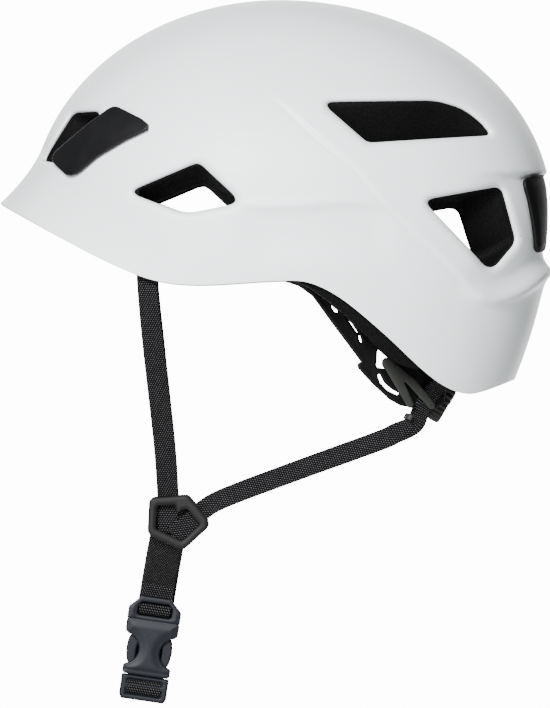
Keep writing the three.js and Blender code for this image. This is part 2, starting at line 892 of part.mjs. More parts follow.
// The buckle's frame: first axis across it, second up towards the female half's slot, third is +X.
const buckleTop = V(7, -58.8, -180.7);
const buckleFrame = new THREE.Matrix4().makeBasis(V(0, 0.99, -0.144), V(0, 0.144, 0.99), V(1, 0, 0));
buckleFrame.setPosition(buckleTop);
const inBuckle = (across, up, out) => V(across, up, out).applyMatrix4(buckleFrame);

const bodyHalf = 13.8;
const waistHalf = 10.4;
const bodyDepth = 5; // half thickness
const cavityDepth = 3;
const femaleEnd = -37;
const baseTop = -38;
const baseEnd = -54;
const baseHalf = 12.5;
const lowerWebWidth = 16;
const slotHalf = 9;
const prongTip = -19;
const prongHinge = -36;

function symmetricShape(half) {
  return roundedShape([...half, ...half.map(([x, y, r]) => [-x, y, r]).reverse()]);
}

function makeBuckleFemale() {
  const outline = symmetricShape([
    [11, 0, 1.5],
    [bodyHalf, -3.2, 1.5],
    [bodyHalf, -17.5, 3],
    [waistHalf, -21, 2],
    [waistHalf, femaleEnd, 1.5],
  ]);
  const body = prism(outline, -bodyDepth, bodyDepth, buckleFrame);
  const slot = block([-slotHalf, -9.6, -10], [slotHalf, -4.4, 10], buckleFrame);
  const front = block([-slotHalf, -9.6, 2.2], [slotHalf, 1, 10], buckleFrame);
  const back = block([-slotHalf, -9.6, -10], [slotHalf, 1, -2.2], buckleFrame);
  const cavity = block([-20, -60, -cavityDepth], [20, -17.8, cavityDepth], buckleFrame);
  const throatHalf = waistHalf - 1.4;
  const throat = block([-throatHalf, -18, -cavityDepth], [throatHalf, -13.5, cavityDepth], buckleFrame);
  return cut(body, slot, front, back, cavity, throat);
}

function makeBuckleMale() {
  const outline = symmetricShape([
    [2.4, -15, 1],
    [2.4, baseTop, 0],
    [baseHalf, baseTop, 1.5],
    [baseHalf, baseEnd + 3, 2],
    [10.5, baseEnd, 2],
  ]);
  const body = prism(outline, -cavityDepth + gap, cavityDepth - gap, buckleFrame);
  const upper = block([-slotHalf - 0.5, -45.4, -9], [slotHalf + 0.5, -41.4, 9], buckleFrame);
  const lower = block([-slotHalf - 0.5, -51.8, -9], [slotHalf + 0.5, -47.6, 9], buckleFrame);
  return cut(body, upper, lower);
}

function makeProng(side) {
  const outline = [
    [5.2, prongTip, 1.5],
    [9, prongTip - 0.5, 3],
    [13, -26, 5],
    [12.4, -33, 4],
    [9.2, prongHinge, 1],
    [8.6, baseTop + gap, 0],
    [6.2, baseTop + gap, 0],
    [6.6, -28, 3],
  ];
  const sided = outline.map(([x, y, r]) => [side * x, y, r]);
  if (side > 0) sided.reverse();
  return prism(roundedShape(sided.reverse()), -cavityDepth + 2 * gap, cavityDepth - 2 * gap, buckleFrame);
}

const acrossBuckle = V(0, 0.99, -0.144);

// Two plies, from the divider down round the female half's bar.
function makeLowerStrapLeft() {
  const at = (up, out) => [inBuckle(0, up, out), acrossBuckle];
  const stops = [
    [V(strapFace - 3.5, -53.5, -141), V(0, 1, 0)],
    [V(strapFace - 7, -55, -157), V(0, 1, -0.1)],
    at(9, 5.5),
    at(1, 4),
    at(-4, 3.8),
    at(-7, 0),
    at(-4, -3.8),
    at(1, -4),
    at(6, -1.5),
  ];
  return strip(stops, lowerWebWidth, webThickness, 36);
}

// Down behind the buckle, forward through the male half and back over its bar.
function makeLowerStrapRight() {
  const at = (up, out) => [inBuckle(0, up, out), acrossBuckle];
  const stops = [
    [V(-strapFace + 3.5, -53.5, -141), V(0, 1, 0)],
    [V(-strapFace + 8, -55.5, -160), V(0, 1, -0.1)],
    at(-2, -10.5),
    at(-20, -9.5),
    at(-42, -8.5),
    at(-49.7, -4.5),
    at(-49.7, 3.2),
    at(-46.5, 4.6),
    at(-43.4, 3.2),
    at(-43.4, -3.4),
  ];
  return strip(stops, lowerWebWidth, webThickness, 44);
}

// A small loop at the nape that the rear strap passes through.
function makeStrapGuide() {
  const frame = frameAt(guideCentre, guideAcross, guideAlong);
  const outer = block([-7.4, -3.6, -1.5], [7.4, 3.6, 1.5], frame);
  return cut(outer, block([-6, -2.2, -6], [6, 2.2, 6], frame));
}

// ---------------------------------------------------------------- materials and assembly

const colours = {
  shell: 0xe1e5e6,
  foam: 0x141414,
  plastic: 0x2c2c2e,
  grey: 0x30322f,
  webbing: 0x252428,
  buckle: 0x33363d,
  pad: 0x1c1c1e,
  metal: 0x9a9a9a,
};

const group = new THREE.Group();

function add(name, solid, colour, roughness = 0.6) {
  const material = new THREE.MeshStandardMaterial({ color: colours[colour], roughness });
  const mesh = new THREE.Mesh(geometryOf(solid), material);
  mesh.name = name;
  group.add(mesh);
}

function addPair(name, left, colour, roughness) {
  add(`${name}_left`, left, colour, roughness);
  add(`${name}_right`, mirrored(left), colour, roughness);
}

add("outer_shell", makeShell(), "shell", 0.35);
add("foam_liner", makeLiner(), "foam", 0.9);
add("crown_pad", makeCrownPad(), "pad", 0.95);
add("headband_front", makeHeadband(), "plastic");
add("forehead_pad", makeForeheadPad(), "pad", 0.95);
addPair("temple_pin", makeTemplePin(), "plastic");
addPair("side_arm", makeSideArm(), "plastic");
add("rack_left", makeRack(1), "plastic");
add("rack_right", makeRack(-1), "plastic");
add("nape_housing", makeHousing(), "grey");
add("nape_cover", makeCover(), "grey");
add("nape_pad", makeNapePad(), "pad", 0.95);
add("pinion", makePinion(), "grey");
add("adjuster_wheel", makeWheel(), "grey");
add("wheel_screw", makeWheelScrew(), "metal", 0.3);
addPair("headlamp_clip_front", makeClip(frontClipOutline, 20, frontClipFoot), "plastic");
addPair("headlamp_clip_rear", makeClip(rearClipOutline, rearClipInner, rearClipFoot), "plastic");
addPair("strap_anchor_front", makeAnchor(frontAnchor), "plastic");
addPair("strap_anchor_rear", makeAnchor(rearAnchor), "plastic");
addPair("front_strap", makeFrontStrap(), "webbing", 0.9);
addPair("rear_strap", makeRearStrap(), "webbing", 0.9);
addPair("divider", makeDivider(), "plastic");
addPair("arm_fork", makeFork(), "grey");
addPair("strap_guide", makeStrapGuide(), "grey");
add("lower_strap_left", makeLowerStrapLeft(), "webbing", 0.9);
add("lower_strap_right", makeLowerStrapRight(), "webbing", 0.9);
add("buckle_female", makeBuckleFemale(), "buckle", 0.5);
add("buckle_male", makeBuckleMale(), "buckle", 0.5);
add("buckle_prong_front", makeProng(-1), "buckle", 0.5);
add("buckle_prong_rear", makeProng(1), "buckle", 0.5);

export default group;
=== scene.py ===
"""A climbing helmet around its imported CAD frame: white shell, black foam liner, nape adjuster and chin strap.

Shapes are worked out in millimetres, with +Z up, the wearer facing -Y and the wearer's left at +X,
and turned into metres when a mesh is made.
"""

import math

import bmesh
import bpy
import numpy as np
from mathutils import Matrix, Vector


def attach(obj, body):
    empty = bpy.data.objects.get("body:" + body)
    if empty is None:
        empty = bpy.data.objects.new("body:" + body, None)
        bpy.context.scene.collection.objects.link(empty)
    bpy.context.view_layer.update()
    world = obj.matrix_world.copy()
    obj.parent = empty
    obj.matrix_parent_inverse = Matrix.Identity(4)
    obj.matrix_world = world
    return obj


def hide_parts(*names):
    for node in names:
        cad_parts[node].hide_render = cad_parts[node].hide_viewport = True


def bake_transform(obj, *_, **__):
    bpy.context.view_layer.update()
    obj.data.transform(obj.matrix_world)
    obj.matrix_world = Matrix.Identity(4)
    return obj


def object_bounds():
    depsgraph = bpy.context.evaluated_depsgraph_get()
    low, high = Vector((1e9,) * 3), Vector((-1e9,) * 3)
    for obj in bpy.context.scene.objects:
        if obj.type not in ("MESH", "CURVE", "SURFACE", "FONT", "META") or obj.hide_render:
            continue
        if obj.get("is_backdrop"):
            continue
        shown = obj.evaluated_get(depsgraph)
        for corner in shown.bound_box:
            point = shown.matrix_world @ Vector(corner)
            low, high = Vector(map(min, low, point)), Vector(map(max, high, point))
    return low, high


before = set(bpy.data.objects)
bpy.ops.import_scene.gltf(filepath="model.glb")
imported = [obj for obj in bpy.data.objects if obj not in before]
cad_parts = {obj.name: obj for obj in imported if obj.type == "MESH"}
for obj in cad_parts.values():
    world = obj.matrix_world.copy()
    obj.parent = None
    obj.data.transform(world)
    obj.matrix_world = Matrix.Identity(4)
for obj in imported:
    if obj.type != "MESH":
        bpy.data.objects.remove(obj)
cad_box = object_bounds()

MM = 0.001

# ---------------------------------------------------------------- driving dimensions, shared with the CAD

CROWN = 130.0
BELT = 20.0
AXIS_Y = 5.0
FRONT_REACH = 129.5
REAR_REACH = 141.5
HALF_WIDTH = 110.5
FRONT_POWER = 2.15  # how square the plan is before and behind the axis; 2 is an ellipse
REAR_POWER = 2.3
SIDE_FULLNESS = 0.25  # how much fuller than an ellipse the dome is at its sides
LOWER_TAPER = 0.0025
VISOR_REACH = 16.0
VISOR_HEIGHT = 30.0
VISOR_CURVE = 1.95
VISOR_NARROWING = 1.2
VISOR_TURN = 1.3  # radians from the brow to where the visor has gone
SHELL_THICKNESS = 2.2
LINER_GAP = 1.0
LINER_INSET = 22.0

# Lower edges seen from the side: Y, Z.
SHELL_RIM = [
    (-140.4, 24.3), (-111, 7.7), (-82, -7.5), (-60, -16), (-38, -18.5), (5, -16.4), (20, -17.3),
    (36, -25), (57, -42), (82, -65), (95, -73), (106, -74.6), (128.8, -67),
]
LINER_RIM = [
    (-120, 30), (-100, 14), (-75, -4), (-45, -13), (0, -13), (16, -17),
    (34, -29), (56, -49), (68, -58), (84, -60), (105, -50), (125, -44),
]

# Vent outlines seen from the side: Y, Z, corner radius.
VENTS = {
    "brow": [(-120, 47.2, 2), (-106, 44, 5), (-87, 72, 3), (-103.5, 72, 6)],
    "temple": [(-73.5, 29.5, 3), (-44, 18.3, 20), (-14.6, 24, 4), (-37, 44.8, 5)],
    "crown": [
        (26.5, 76, 3), (50.5, 55, 7), (115.2, 59.4, 2.5),
        (109.8, 65.8, 20), (100.5, 73.1, 30), (86, 77.2, 40),
    ],
    "nape": [(79, 25.3, 3.5), (115.5, -12.5, 8), (131.2, 3.5, 7), (122, 33.2, 6)],
}
# Each vent's tunnel comes out of the liner's inner face shifted by Y, Z and scaled.
TUNNELS = {
    "brow": (22, -14, 0.8),
    "temple": (3, -10, 0.96),
    "crown": (-8, -26, 0.9),
    "nape": (-24, -9.5, 0.95),
}

# How finely the forms are worked out.
RIM_STEPS = 720  # azimuths in a table of rim heights
RIM_ROUNDS = 12
TURN_STEP = 1e-3  # radians each side of a point, to find its normal
HEIGHT_STEP = 0.25  # and millimetres above and below it
SHELL_GRID = (560, 200)  # columns round the head, rows from rim to crown
LINER_GRID = (200, 64)
OUTER_INSET = SHELL_THICKNESS + LINER_GAP


def unit(vector):
    return np.asarray(vector, float) / np.linalg.norm(vector)


def bisected(low, high, below, rounds):
    """The values between low and high at which below(value) stops being true."""
    for _ in range(rounds):
        middle = (low + high) / 2
        less = below(middle)
        low = np.where(less, middle, low)
        high = np.where(less, high, middle)
    return (low + high) / 2


def smoothstep(a, b, x):
    t = np.clip((np.asarray(x, float) - a) / (b - a), 0, 1)
    return t * t * (3 - 2 * t)


def curve_through(points):
    """A smooth curve through (x, value) points, level past its ends."""
    xs, vs = np.array(points, float).T
    slopes = np.gradient(vs, xs)
    slopes[1:-1] = (vs[2:] - vs[:-2]) / (xs[2:] - xs[:-2])

    def value(x):
        x = np.clip(np.asarray(x, float), xs[0], xs[-1])
        i = np.clip(np.searchsorted(xs, x, side="right") - 1, 0, len(xs) - 2)
        span = xs[i + 1] - xs[i]
        t = (x - xs[i]) / span
        keep = (1 + 2 * t) * (1 - t) ** 2 * vs[i] + t * t * (3 - 2 * t) * vs[i + 1]
        return keep + span * t * (1 - t) * ((1 - t) * slopes[i] - t * slopes[i + 1])

    return value


shell_rim_height = curve_through(SHELL_RIM)
liner_rim_height = curve_through(LINER_RIM)


# ---------------------------------------------------------------- outlines seen from the side


def rounded_outline(corners, steps=8):
    """A closed polygon with rounded corners, as an N by 2 array."""
    points = []
    count = len(corners)
    for i, (y, z, radius) in enumerate(corners):
        here = np.array([y, z], float)
        back = np.array(corners[i - 1][:2], float) - here
        ahead = np.array(corners[(i + 1) % count][:2], float) - here
        lb, la = np.linalg.norm(back), np.linalg.norm(ahead)
        back, ahead = back / lb, ahead / la
        half = math.acos(np.clip(back @ ahead, -1, 1)) / 2
        reach = min(radius / math.tan(half), 0.48 * min(lb, la))
        start, end = here + back * reach, here + ahead * reach
        for t in np.linspace(0, 1, steps):
            points.append((1 - t) ** 2 * start + 2 * t * (1 - t) * here + t * t * end)
    return np.array(points)


def nearest_on(polygon, points):
    """The nearest point of a closed polygon to each point, and the signed distance (positive outside)."""
    a = polygon
    b = np.roll(polygon, -1, axis=0)
    ab = b - a
    ap = points[:, None, :] - a[None]
    t = np.clip((ap * ab).sum(2) / np.maximum((ab * ab).sum(1), 1e-12), 0, 1)
    near = a[None] + t[..., None] * ab[None]
    gap = np.linalg.norm(points[:, None, :] - near, axis=2)
    best = gap.argmin(1)
    rows = np.arange(len(points))
    crossing = (a[None, :, 1] > points[:, None, 1]) != (b[None, :, 1] > points[:, None, 1])
    slope = (b[:, 0] - a[:, 0]) / np.where(np.abs(ab[:, 1]) < 1e-9, 1e-9, ab[:, 1])
    at = a[None, :, 0] + (points[:, None, 1] - a[None, :, 1]) * slope[None]
    inside = (crossing & (points[:, None, 0] < at)).sum(1) % 2 == 1
    return near[rows, best], np.where(inside, -gap[rows, best], gap[rows, best])


VENT_OUTLINES = {name: rounded_outline(corners, 16) for name, corners in VENTS.items()}


def tunnel_outline(name):
    outline = VENT_OUTLINES[name]
    dy, dz, scale = TUNNELS[name]
    middle = outline.mean(0)
    return middle + (outline - middle) * scale + (dy, dz)


TUNNEL_OUTLINES = {name: tunnel_outline(name) for name in VENTS}


# ---------------------------------------------------------------- the helmet's form


def plan_radius(azimuth):
    forward = np.cos(azimuth) > 0
    along = np.abs(np.cos(azimuth)) / np.where(forward, FRONT_REACH, REAR_REACH)
    across = np.abs(np.sin(azimuth)) / HALF_WIDTH
    power = np.where(forward, FRONT_POWER, REAR_POWER)
    return (along**power + across**power) ** (-1 / power)


def dome_radius(azimuth, z):
    above = np.clip((z - BELT) / (CROWN - BELT), 0, 1)
    below = np.maximum(BELT - z, 0)
    fullness = 2 + SIDE_FULLNESS * np.sin(azimuth) ** 2
    return plan_radius(azimuth) * (1 - above**2) ** (1 / fullness) - LOWER_TAPER * below**2


def visor_flare(azimuth, height):
    turn = np.abs((azimuth + math.pi) % (2 * math.pi) - math.pi)
    reach = VISOR_REACH * np.maximum(np.cos(VISOR_NARROWING * np.minimum(turn, VISOR_TURN)), 0) ** 2
    return reach * np.maximum(1 - height / VISOR_HEIGHT, 0) ** VISOR_CURVE


def rim_table(rim_height, flared):
    """Azimuths all the way round, and the height of a lower edge at each."""
    azimuth = np.linspace(0, 2 * math.pi, RIM_STEPS + 1)
    z = np.zeros_like(azimuth)
    for _ in range(RIM_ROUNDS):
        reach = dome_radius(azimuth, z) + (visor_flare(azimuth, 0) if flared else 0)
        z = rim_height(AXIS_Y - reach * np.cos(azimuth))
    return azimuth, z


SHELL_RIM_TABLE = rim_table(shell_rim_height, True)
LINER_RIM_TABLE = rim_table(liner_rim_height, False)


def at_azimuth(table, azimuth):
    return np.interp(azimuth % (2 * math.pi), *table)


def dome_points(azimuth, z, flared):
    """Points of the plain dome at azimuths and heights."""
    reach = dome_radius(azimuth, z)
    if flared:
        reach = reach + visor_flare(azimuth, z - at_azimuth(SHELL_RIM_TABLE, azimuth))
    return np.stack([reach * np.sin(azimuth), AXIS_Y - reach * np.cos(azimuth), z], -1)


def height_at(azimuth, rise, table):
    """Height of a rise from 0 at the rim to 1 at the crown."""
    rim = at_azimuth(table, azimuth)
    lift = (rim - BELT) / (CROWN - BELT)
    start = np.where(lift > 0, np.arcsin(np.clip(lift, 0, 1)), lift)
    angle = start + rise * (math.pi / 2 - start)
    return BELT + (CROWN - BELT) * np.where(angle > 0, np.sin(angle), angle)


def azimuth_at(y, z, flared):
    """Azimuth on the wearer's left where the dome is seen at y, z from the side."""
    low = np.full(np.shape(y), 1e-3)
    high = np.full(np.shape(y), math.pi - 1e-3)
    return bisected(low, high, lambda azimuth: dome_points(azimuth, z, flared)[..., 1] < y, 44)


# Lines moulded into each side of the shell, as seen from the side: Y, Z.
DIAGONAL = np.array([(-8, 87), (24.4, 57.2), (43.2, 41.6), (59.3, 22.4), (79, 3.6), (104, -21)], float)
WAIST = curve_through([(-22, 24), (-8.7, 22.2), (15, 22.6), (40, 24.3), (55, 22.8), (66, 18)])
RIDGE = curve_through([(96, -19), (106, -24.5), (117, -26), (130.5, -21.5), (143.5, -12.5)])
# How deep or high each of them is.
RECESS_DEPTH = 3.4
CREST_HEIGHT = 2.6  # of the ridge below the recess
UNDERCUT = 0.55  # of the wall below the ridge
GROOVE_DEPTH = 0.6
PANEL_STEP = 0.9
TUCK_DEPTH = 2.3  # of the wall below the waist line
WAIST_SWELL = 0.9


def distance_to_line(line, points):
    """Distance to an open polyline (positive on its rear side), and how far along it is, 0 to 1."""
    a, b = line[:-1], line[1:]
    ab = b - a
    length = np.linalg.norm(ab, axis=1)
    ap = points[:, None, :] - a[None]
    t = np.clip((ap * ab).sum(2) / (length**2), 0, 1)
    near = a[None] + t[..., None] * ab[None]
    gap = np.linalg.norm(points[:, None, :] - near, axis=2)
    best = gap.argmin(1)
    rows = np.arange(len(points))
    side = ab[best, 0] * ap[rows, best, 1] - ab[best, 1] * ap[rows, best, 0]
    done = np.r_[0, np.cumsum(length)]
    along = (done[best] + t[rows, best] * length[best]) / done[-1]
    return np.where(side > 0, gap[rows, best], -gap[rows, best]), along


def rear_relief(y, z):
    """The rear recess for a headlamp's band, with a sharp lip above it and a rounded ridge below."""
    ridge = RIDGE(y)
    recess = RECESS_DEPTH * smoothstep(100, 133, y)
    recess = recess * (1 - smoothstep(37.5, 40.5, z)) * smoothstep(ridge + 1, ridge + 11, z)
    crest = CREST_HEIGHT * smoothstep(96, 110, y) * np.exp(-(((z - ridge - 1) / 3.8) ** 2))
    below = ridge - z
    under = UNDERCUT * smoothstep(100, 116, y) * smoothstep(0, 14, below) * (1 - smoothstep(20, 60, below))
    return crest - recess - under


def diagonal_relief(points):
    """The diagonal line: a narrow groove, with the rear panel standing a little proud of it."""
    gap, along = distance_to_line(DIAGONAL, points)
    fade = smoothstep(0.0, 0.22, along) * (1 - smoothstep(0.93, 1.0, along))
    panel = PANEL_STEP * smoothstep(-0.8, 1.4, gap) * np.exp(-np.maximum(gap, 0) / 16)
    return (panel - GROOVE_DEPTH * np.exp(-(gap**2))) * fade


def waist_relief(y, z):
    """The waist line: a soft swell, with the wall below it drawn in."""
    waist = WAIST(y)
    below = np.maximum(waist - z, 0)
    tuck = TUCK_DEPTH * (1 - np.exp(-below / 4.5)) * (1 - smoothstep(14, 36, below))
    swell = WAIST_SWELL * np.exp(-(((z - waist) / 3.6) ** 2))
    return (swell - tuck) * smoothstep(-24, 0, y) * (1 - smoothstep(52, 68, y))


def shell_relief(points):
    """How far the shell stands out of (or into) the plain dome at side-view points."""
    y, z = points.T
    return rear_relief(y, z) + diagonal_relief(points) + waist_relief(y, z)


VENT_ROLL = 4.2  # radius of the rolled edge round each vent


def dome_normal(azimuth, z, flared):
    """The dome's outward direction."""
    around = dome_points(azimuth + TURN_STEP, z, flared) - dome_points(azimuth - TURN_STEP, z, flared)
    high = np.minimum(z + HEIGHT_STEP, CROWN - 1e-3)
    up = dome_points(azimuth, high, flared) - dome_points(azimuth, z - HEIGHT_STEP, flared)
    out = np.cross(around, up)
    return out / np.maximum(np.linalg.norm(out, axis=-1, keepdims=True), 1e-12)


def relief_at(point):
    return shell_relief(point.reshape(-1, 3)[:, 1:]).reshape(point.shape[:-1])


def shell_surface(azimuth, z):
    """Points of the moulded shell, and the dome's own normal there."""
    point = dome_points(azimuth, z, True)
    out = dome_normal(azimuth, z, True)
    return point + out * relief_at(point)[..., None], out


def dome_inset(azimuth, z, inset):
    """Points of the dome without its visor, moved inwards along its normal, clear of the shell's recesses."""
    point = dome_points(azimuth, z, False)
    out = dome_normal(azimuth, z, False)
    recess = np.minimum(relief_at(point), 0)
    return point - out * (np.asarray(inset) - recess)[..., None]


# ---------------------------------------------------------------- meshes


def shade_smooth(obj):
    obj.data.polygons.foreach_set("use_smooth", [True] * len(obj.data.polygons))


def make_object(name, points, faces):
    """A mesh object from points in millimetres."""
    mesh = bpy.data.meshes.new(name)
    mesh.from_pydata((np.asarray(points, float) * MM).tolist(), [], [list(map(int, f)) for f in faces])
    mesh.validate()
    mesh.update()
    obj = bpy.data.objects.new(name, mesh)
    shade_smooth(obj)
    bpy.context.scene.collection.objects.link(obj)
    return obj


def edit_mesh(obj, job):
    """Runs job on the object's mesh, opened as a bmesh."""
    work = bmesh.new()
    work.from_mesh(obj.data)
    job(work)
    work.to_mesh(obj.data)
    work.free()
    shade_smooth(obj)


def face_outwards(work):
    bmesh.ops.recalc_face_normals(work, faces=work.faces)


def round_edges(obj, width, segments, angle):
    """A bevel, in millimetres, on the edges sharper than an angle in degrees."""
    bevel = obj.modifiers.new("edges", "BEVEL")
    bevel.width = width * MM
    bevel.segments = segments
    bevel.limit_method = "ANGLE"
    bevel.angle_limit = math.radians(angle)
    return bevel


def picked(points, indices):
    return np.array([points[i] for i in indices])


def bridge(first, second):
    """Quads between two closed rings of point indices."""
    ahead = [*range(1, len(first)), 0]
    return [(first[k], first[i], second[i], second[k]) for i, k in enumerate(ahead)]


def add_rings(points, faces, first, rings):
    """Adds rings of points, each bridged to the one before, from a first ring of indices.
    Returns the last ring's indices."""
    previous = list(first)
    for ring in rings:
        made = list(range(len(points), len(points) + len(ring)))
        points.extend(ring)
        faces.extend(bridge(previous, made))
        previous = made
    return previous


def sides_of(face):
    return zip(face, face[1:] + face[:1])


def edge_key(a, b):
    return min(a, b), max(a, b)


def cut_edges(params, faces, field, evaluate):
    """Adds a point where the field is 0 on each edge that it crosses. Returns the points' indices by edge."""
    crossed = dict.fromkeys(
        edge_key(a, b) for face in faces for a, b in sides_of(face) if field[a] * field[b] < 0
    )
    if not crossed:
        return {}
    first, second = np.array(list(crossed)).T
    start, end = picked(params, first), picked(params, second)
    positive = field[first] > 0
    same = lambda t: (evaluate(start + (end - start) * t[:, None]) > 0) == positive
    share = bisected(np.zeros(len(first)), np.ones(len(first)), same, 18)
    cuts = start + (end - start) * share[:, None]
    indices = range(len(params), len(params) + len(cuts))
    params.extend(map(tuple, cuts))
    return dict(zip(crossed, indices))


def open_loops(faces, on_cut):
    """The closed loops of bare face sides between points on the cut."""
    used = dict.fromkeys(side for face in faces for side in sides_of(face))
    follow = {a: b for a, b in used if (b, a) not in used and a in on_cut and b in on_cut}
    loops = []
    while follow:
        start = next(iter(follow))
        loop = [start]
        here = follow.pop(start)
        while here != start and here in follow:
            loop.append(here)
            here = follow.pop(here)
        loops.append(loop)
    return loops


def clip_faces(params, faces, field, evaluate):
    """Keeps the part of a mesh where field >= 0. params is N by 2, and evaluate gives the field at params.
    Returns params, faces and the closed loops along the cuts."""
    params = [tuple(p) for p in params]
    kept, mixed = [], []
    for face in faces:
        values = field[list(face)]
        if (values >= 0).all():
            kept.append(tuple(face))
        elif (values > 0).any():
            mixed.append(tuple(face))
    cuts = cut_edges(params, mixed, field, evaluate)
    for face in mixed:
        ring = []
        for a, b in sides_of(face):
            if field[a] >= 0:
                ring.append(a)
            if field[a] * field[b] < 0:
                ring.append(cuts[edge_key(a, b)])
        if len(ring) >= 3:
            kept.append(tuple(ring))
    on_cut = set(cuts.values()) | set(np.flatnonzero(field == 0).tolist())
    return np.array(params), kept, open_loops(kept, on_cut)


def vent_field(points, outlines, offset):
    """Distance outside the nearest vent outline, less an offset, at 3-D points."""
    side = points[:, 1:]
    field = np.full(len(points), 50.0)
    for outline in outlines.values():
        middle = outline.mean(0)
        near = (np.abs(points[:, 0]) > 12) & (np.linalg.norm(side - middle, axis=1) < 75)
        if near.any():
            _, distance = nearest_on(outline, side[near])
            field[near] = np.minimum(field[near], distance - offset)
    return field


def dome_grid(around, levels):
    """Azimuth and rise of a grid that closes at the crown, and its faces."""
    azimuth = np.repeat(np.arange(around) * 2 * math.pi / around, levels)
    rise = np.tile(np.arange(levels) / levels, around)
    params = np.stack([azimuth, rise], 1)
    params = np.vstack([params, [[0.0, 1.0]]])
    faces = []
    crown = around * levels
    for i in range(around):
        a, b = i * levels, ((i + 1) % around) * levels
        for j in range(levels - 1):
            faces.append((a + j, b + j, b + j + 1, a + j + 1))
        faces.append((a + levels - 1, b + levels - 1, crown))
    return params, faces


VENT_LEAN = 0.15  # the vent walls run across the helmet, with this share of the surface's own slope
EDGE_BAND = 6.0  # width of the finely divided strip round each vent
# Rings over a vent's edge: share of the strip's width left, and how far down the wall.
EDGE_RINGS = [(0.72, 0), (0.5, 0), (0.34, 0), (0.2, 0), (0.09, 0), (0.02, 0), (0.0, 0.7), (0.0, 2.6)]


def nearest_outline(outlines, side_points):
    """Name of the outline nearest to a loop seen from the side."""
    return min(outlines, key=lambda name: np.abs(nearest_on(outlines[name], side_points)[1]).mean())


def rolled_edge(start):
    """Rings of shell points from a loop round a vent over its rolled edge and down its wall."""
    outline = VENT_OUTLINES[nearest_outline(VENT_OUTLINES, start[:, 1:])]
    nearest, distance = nearest_on(outline, start[:, 1:])
    for share, drop in EDGE_RINGS:
        spot = nearest + (start[:, 1:] - nearest) * share
        azimuth = azimuth_at(spot[:, 0], spot[:, 1], True)
        placed, out = shell_surface(azimuth, spot[:, 1])
        inward = out * (1, VENT_LEAN, VENT_LEAN)
        inward /= np.linalg.norm(inward, axis=1)[:, None]
        placed = placed - inward * (rounded_drop(distance * share, VENT_ROLL) + drop)[:, None]
        placed[:, 0] *= np.sign(start[:, 0].mean())
        yield placed


def build_shell():
    def place(p):
        return shell_surface(p[:, 0], height_at(p[:, 0], p[:, 1], SHELL_RIM_TABLE))[0]

    def evaluate(p):
        return vent_field(place(p), VENT_OUTLINES, EDGE_BAND)

    params, faces = dome_grid(*SHELL_GRID)
    field = evaluate(params)
    field[np.abs(field) < 0.3] = 0
    params, faces, loops = clip_faces(params, faces, field, evaluate)
    points = list(place(params))
    for loop in loops:
        add_rings(points, faces, loop, rolled_edge(picked(points, loop)))
    shell = make_object("shell", points, faces)
    thicken = shell.modifiers.new("thickness", "SOLIDIFY")
    thicken.thickness = SHELL_THICKNESS * MM
    thicken.offset = -1
    round_edges(shell, 0.5, 2, 55)
    return shell


# ---------------------------------------------------------------- liner


def zip_loops(points, first, second):
    """Triangles between two closed loops of point indices that run side by side."""
    a, b = list(first), list(second)
    pa, pb = points[a], points[b]
    start = int(np.linalg.norm(pb - pa[0], axis=1).argmin())
    b = b[start:] + b[:start]
    ahead = points[b[len(b) // 8]] - points[b[0]]
    if ahead @ (points[a[len(a) // 8]] - points[a[0]]) < 0:
        b = [b[0]] + b[:0:-1]
    faces, i, j = [], 0, 0
    while i < len(a) or j < len(b):
        a0, a1 = a[i % len(a)], a[(i + 1) % len(a)]
        b0, b1 = b[j % len(b)], b[(j + 1) % len(b)]
        step_a = np.linalg.norm(points[a1] - points[b0]) if i < len(a) else 1e9
        step_b = np.linalg.norm(points[b1] - points[a0]) if j < len(b) else 1e9
        if step_a <= step_b:
            faces.append((a0, a1, b0))
            i += 1
        else:
            faces.append((a0, b1, b0))
            j += 1
    return faces


def inner_relief(points):
    """Depth of the channels moulded into the liner's inner face."""
    x, z = np.abs(points[:, 0]), points[:, 2]
    side = 3.2 * np.exp(-(((x - 27) / 5.5) ** 4)) * smoothstep(30, 46, z)
    middle = 2.4 * np.exp(-((x / 4.5) ** 4)) * smoothstep(40, 60, z)
    # room for the strap forks, low at the rear
    fork = 16.5 * smoothstep(-34, -46, z) * np.exp(-(((points[:, 1] - 73) / 32) ** 6))
    return side + middle + fork * (x > 30)


EDGE_ROWS = 7
EDGE_DROP = 3.0  # how far the rounded lower edge hangs below the rim
TUNNEL_ROWS = 12
TUNNEL_BELLY = 0.05


def liner_skin(p, inset, relief=False):
    """Points of one face of the liner, at azimuths and rises."""
    z = height_at(p[:, 0], np.maximum(p[:, 1], 1e-4), LINER_RIM_TABLE)
    placed = dome_inset(p[:, 0], z, inset)
    return dome_inset(p[:, 0], z, inset - inner_relief(placed)) if relief else placed


def lower_edge(low, high):
    """Rings of the rounded edge between the two skins."""
    for k in range(1, EDGE_ROWS):
        t = k / EDGE_ROWS
        ring = low + (high - low) * t
        ring[:, 2] -= EDGE_DROP * math.sin(math.pi * t) ** 0.6
        yield ring


def tunnel_rings(inner):
    """Rings from a tunnel's inner mouth out to its vent, swelling a little half way."""
    name = nearest_outline(TUNNEL_OUTLINES, inner[:, 1:])
    dy, dz, scale = TUNNELS[name]
    middle = VENT_OUTLINES[name].mean(0)
    spot = (inner[:, 1:] - (dy, dz) - middle) / scale + middle
    azimuth = azimuth_at(spot[:, 0], spot[:, 1], False)
    outer = dome_inset(azimuth, spot[:, 1], OUTER_INSET)
    outer[:, 0] *= np.sign(inner[:, 0].mean())
    for k in range(1, TUNNEL_ROWS + 1):
        t = k / TUNNEL_ROWS
        ring = inner + (outer - inner) * t
        yield ring + (ring - ring.mean(0)) * TUNNEL_BELLY * math.sin(math.pi * t)


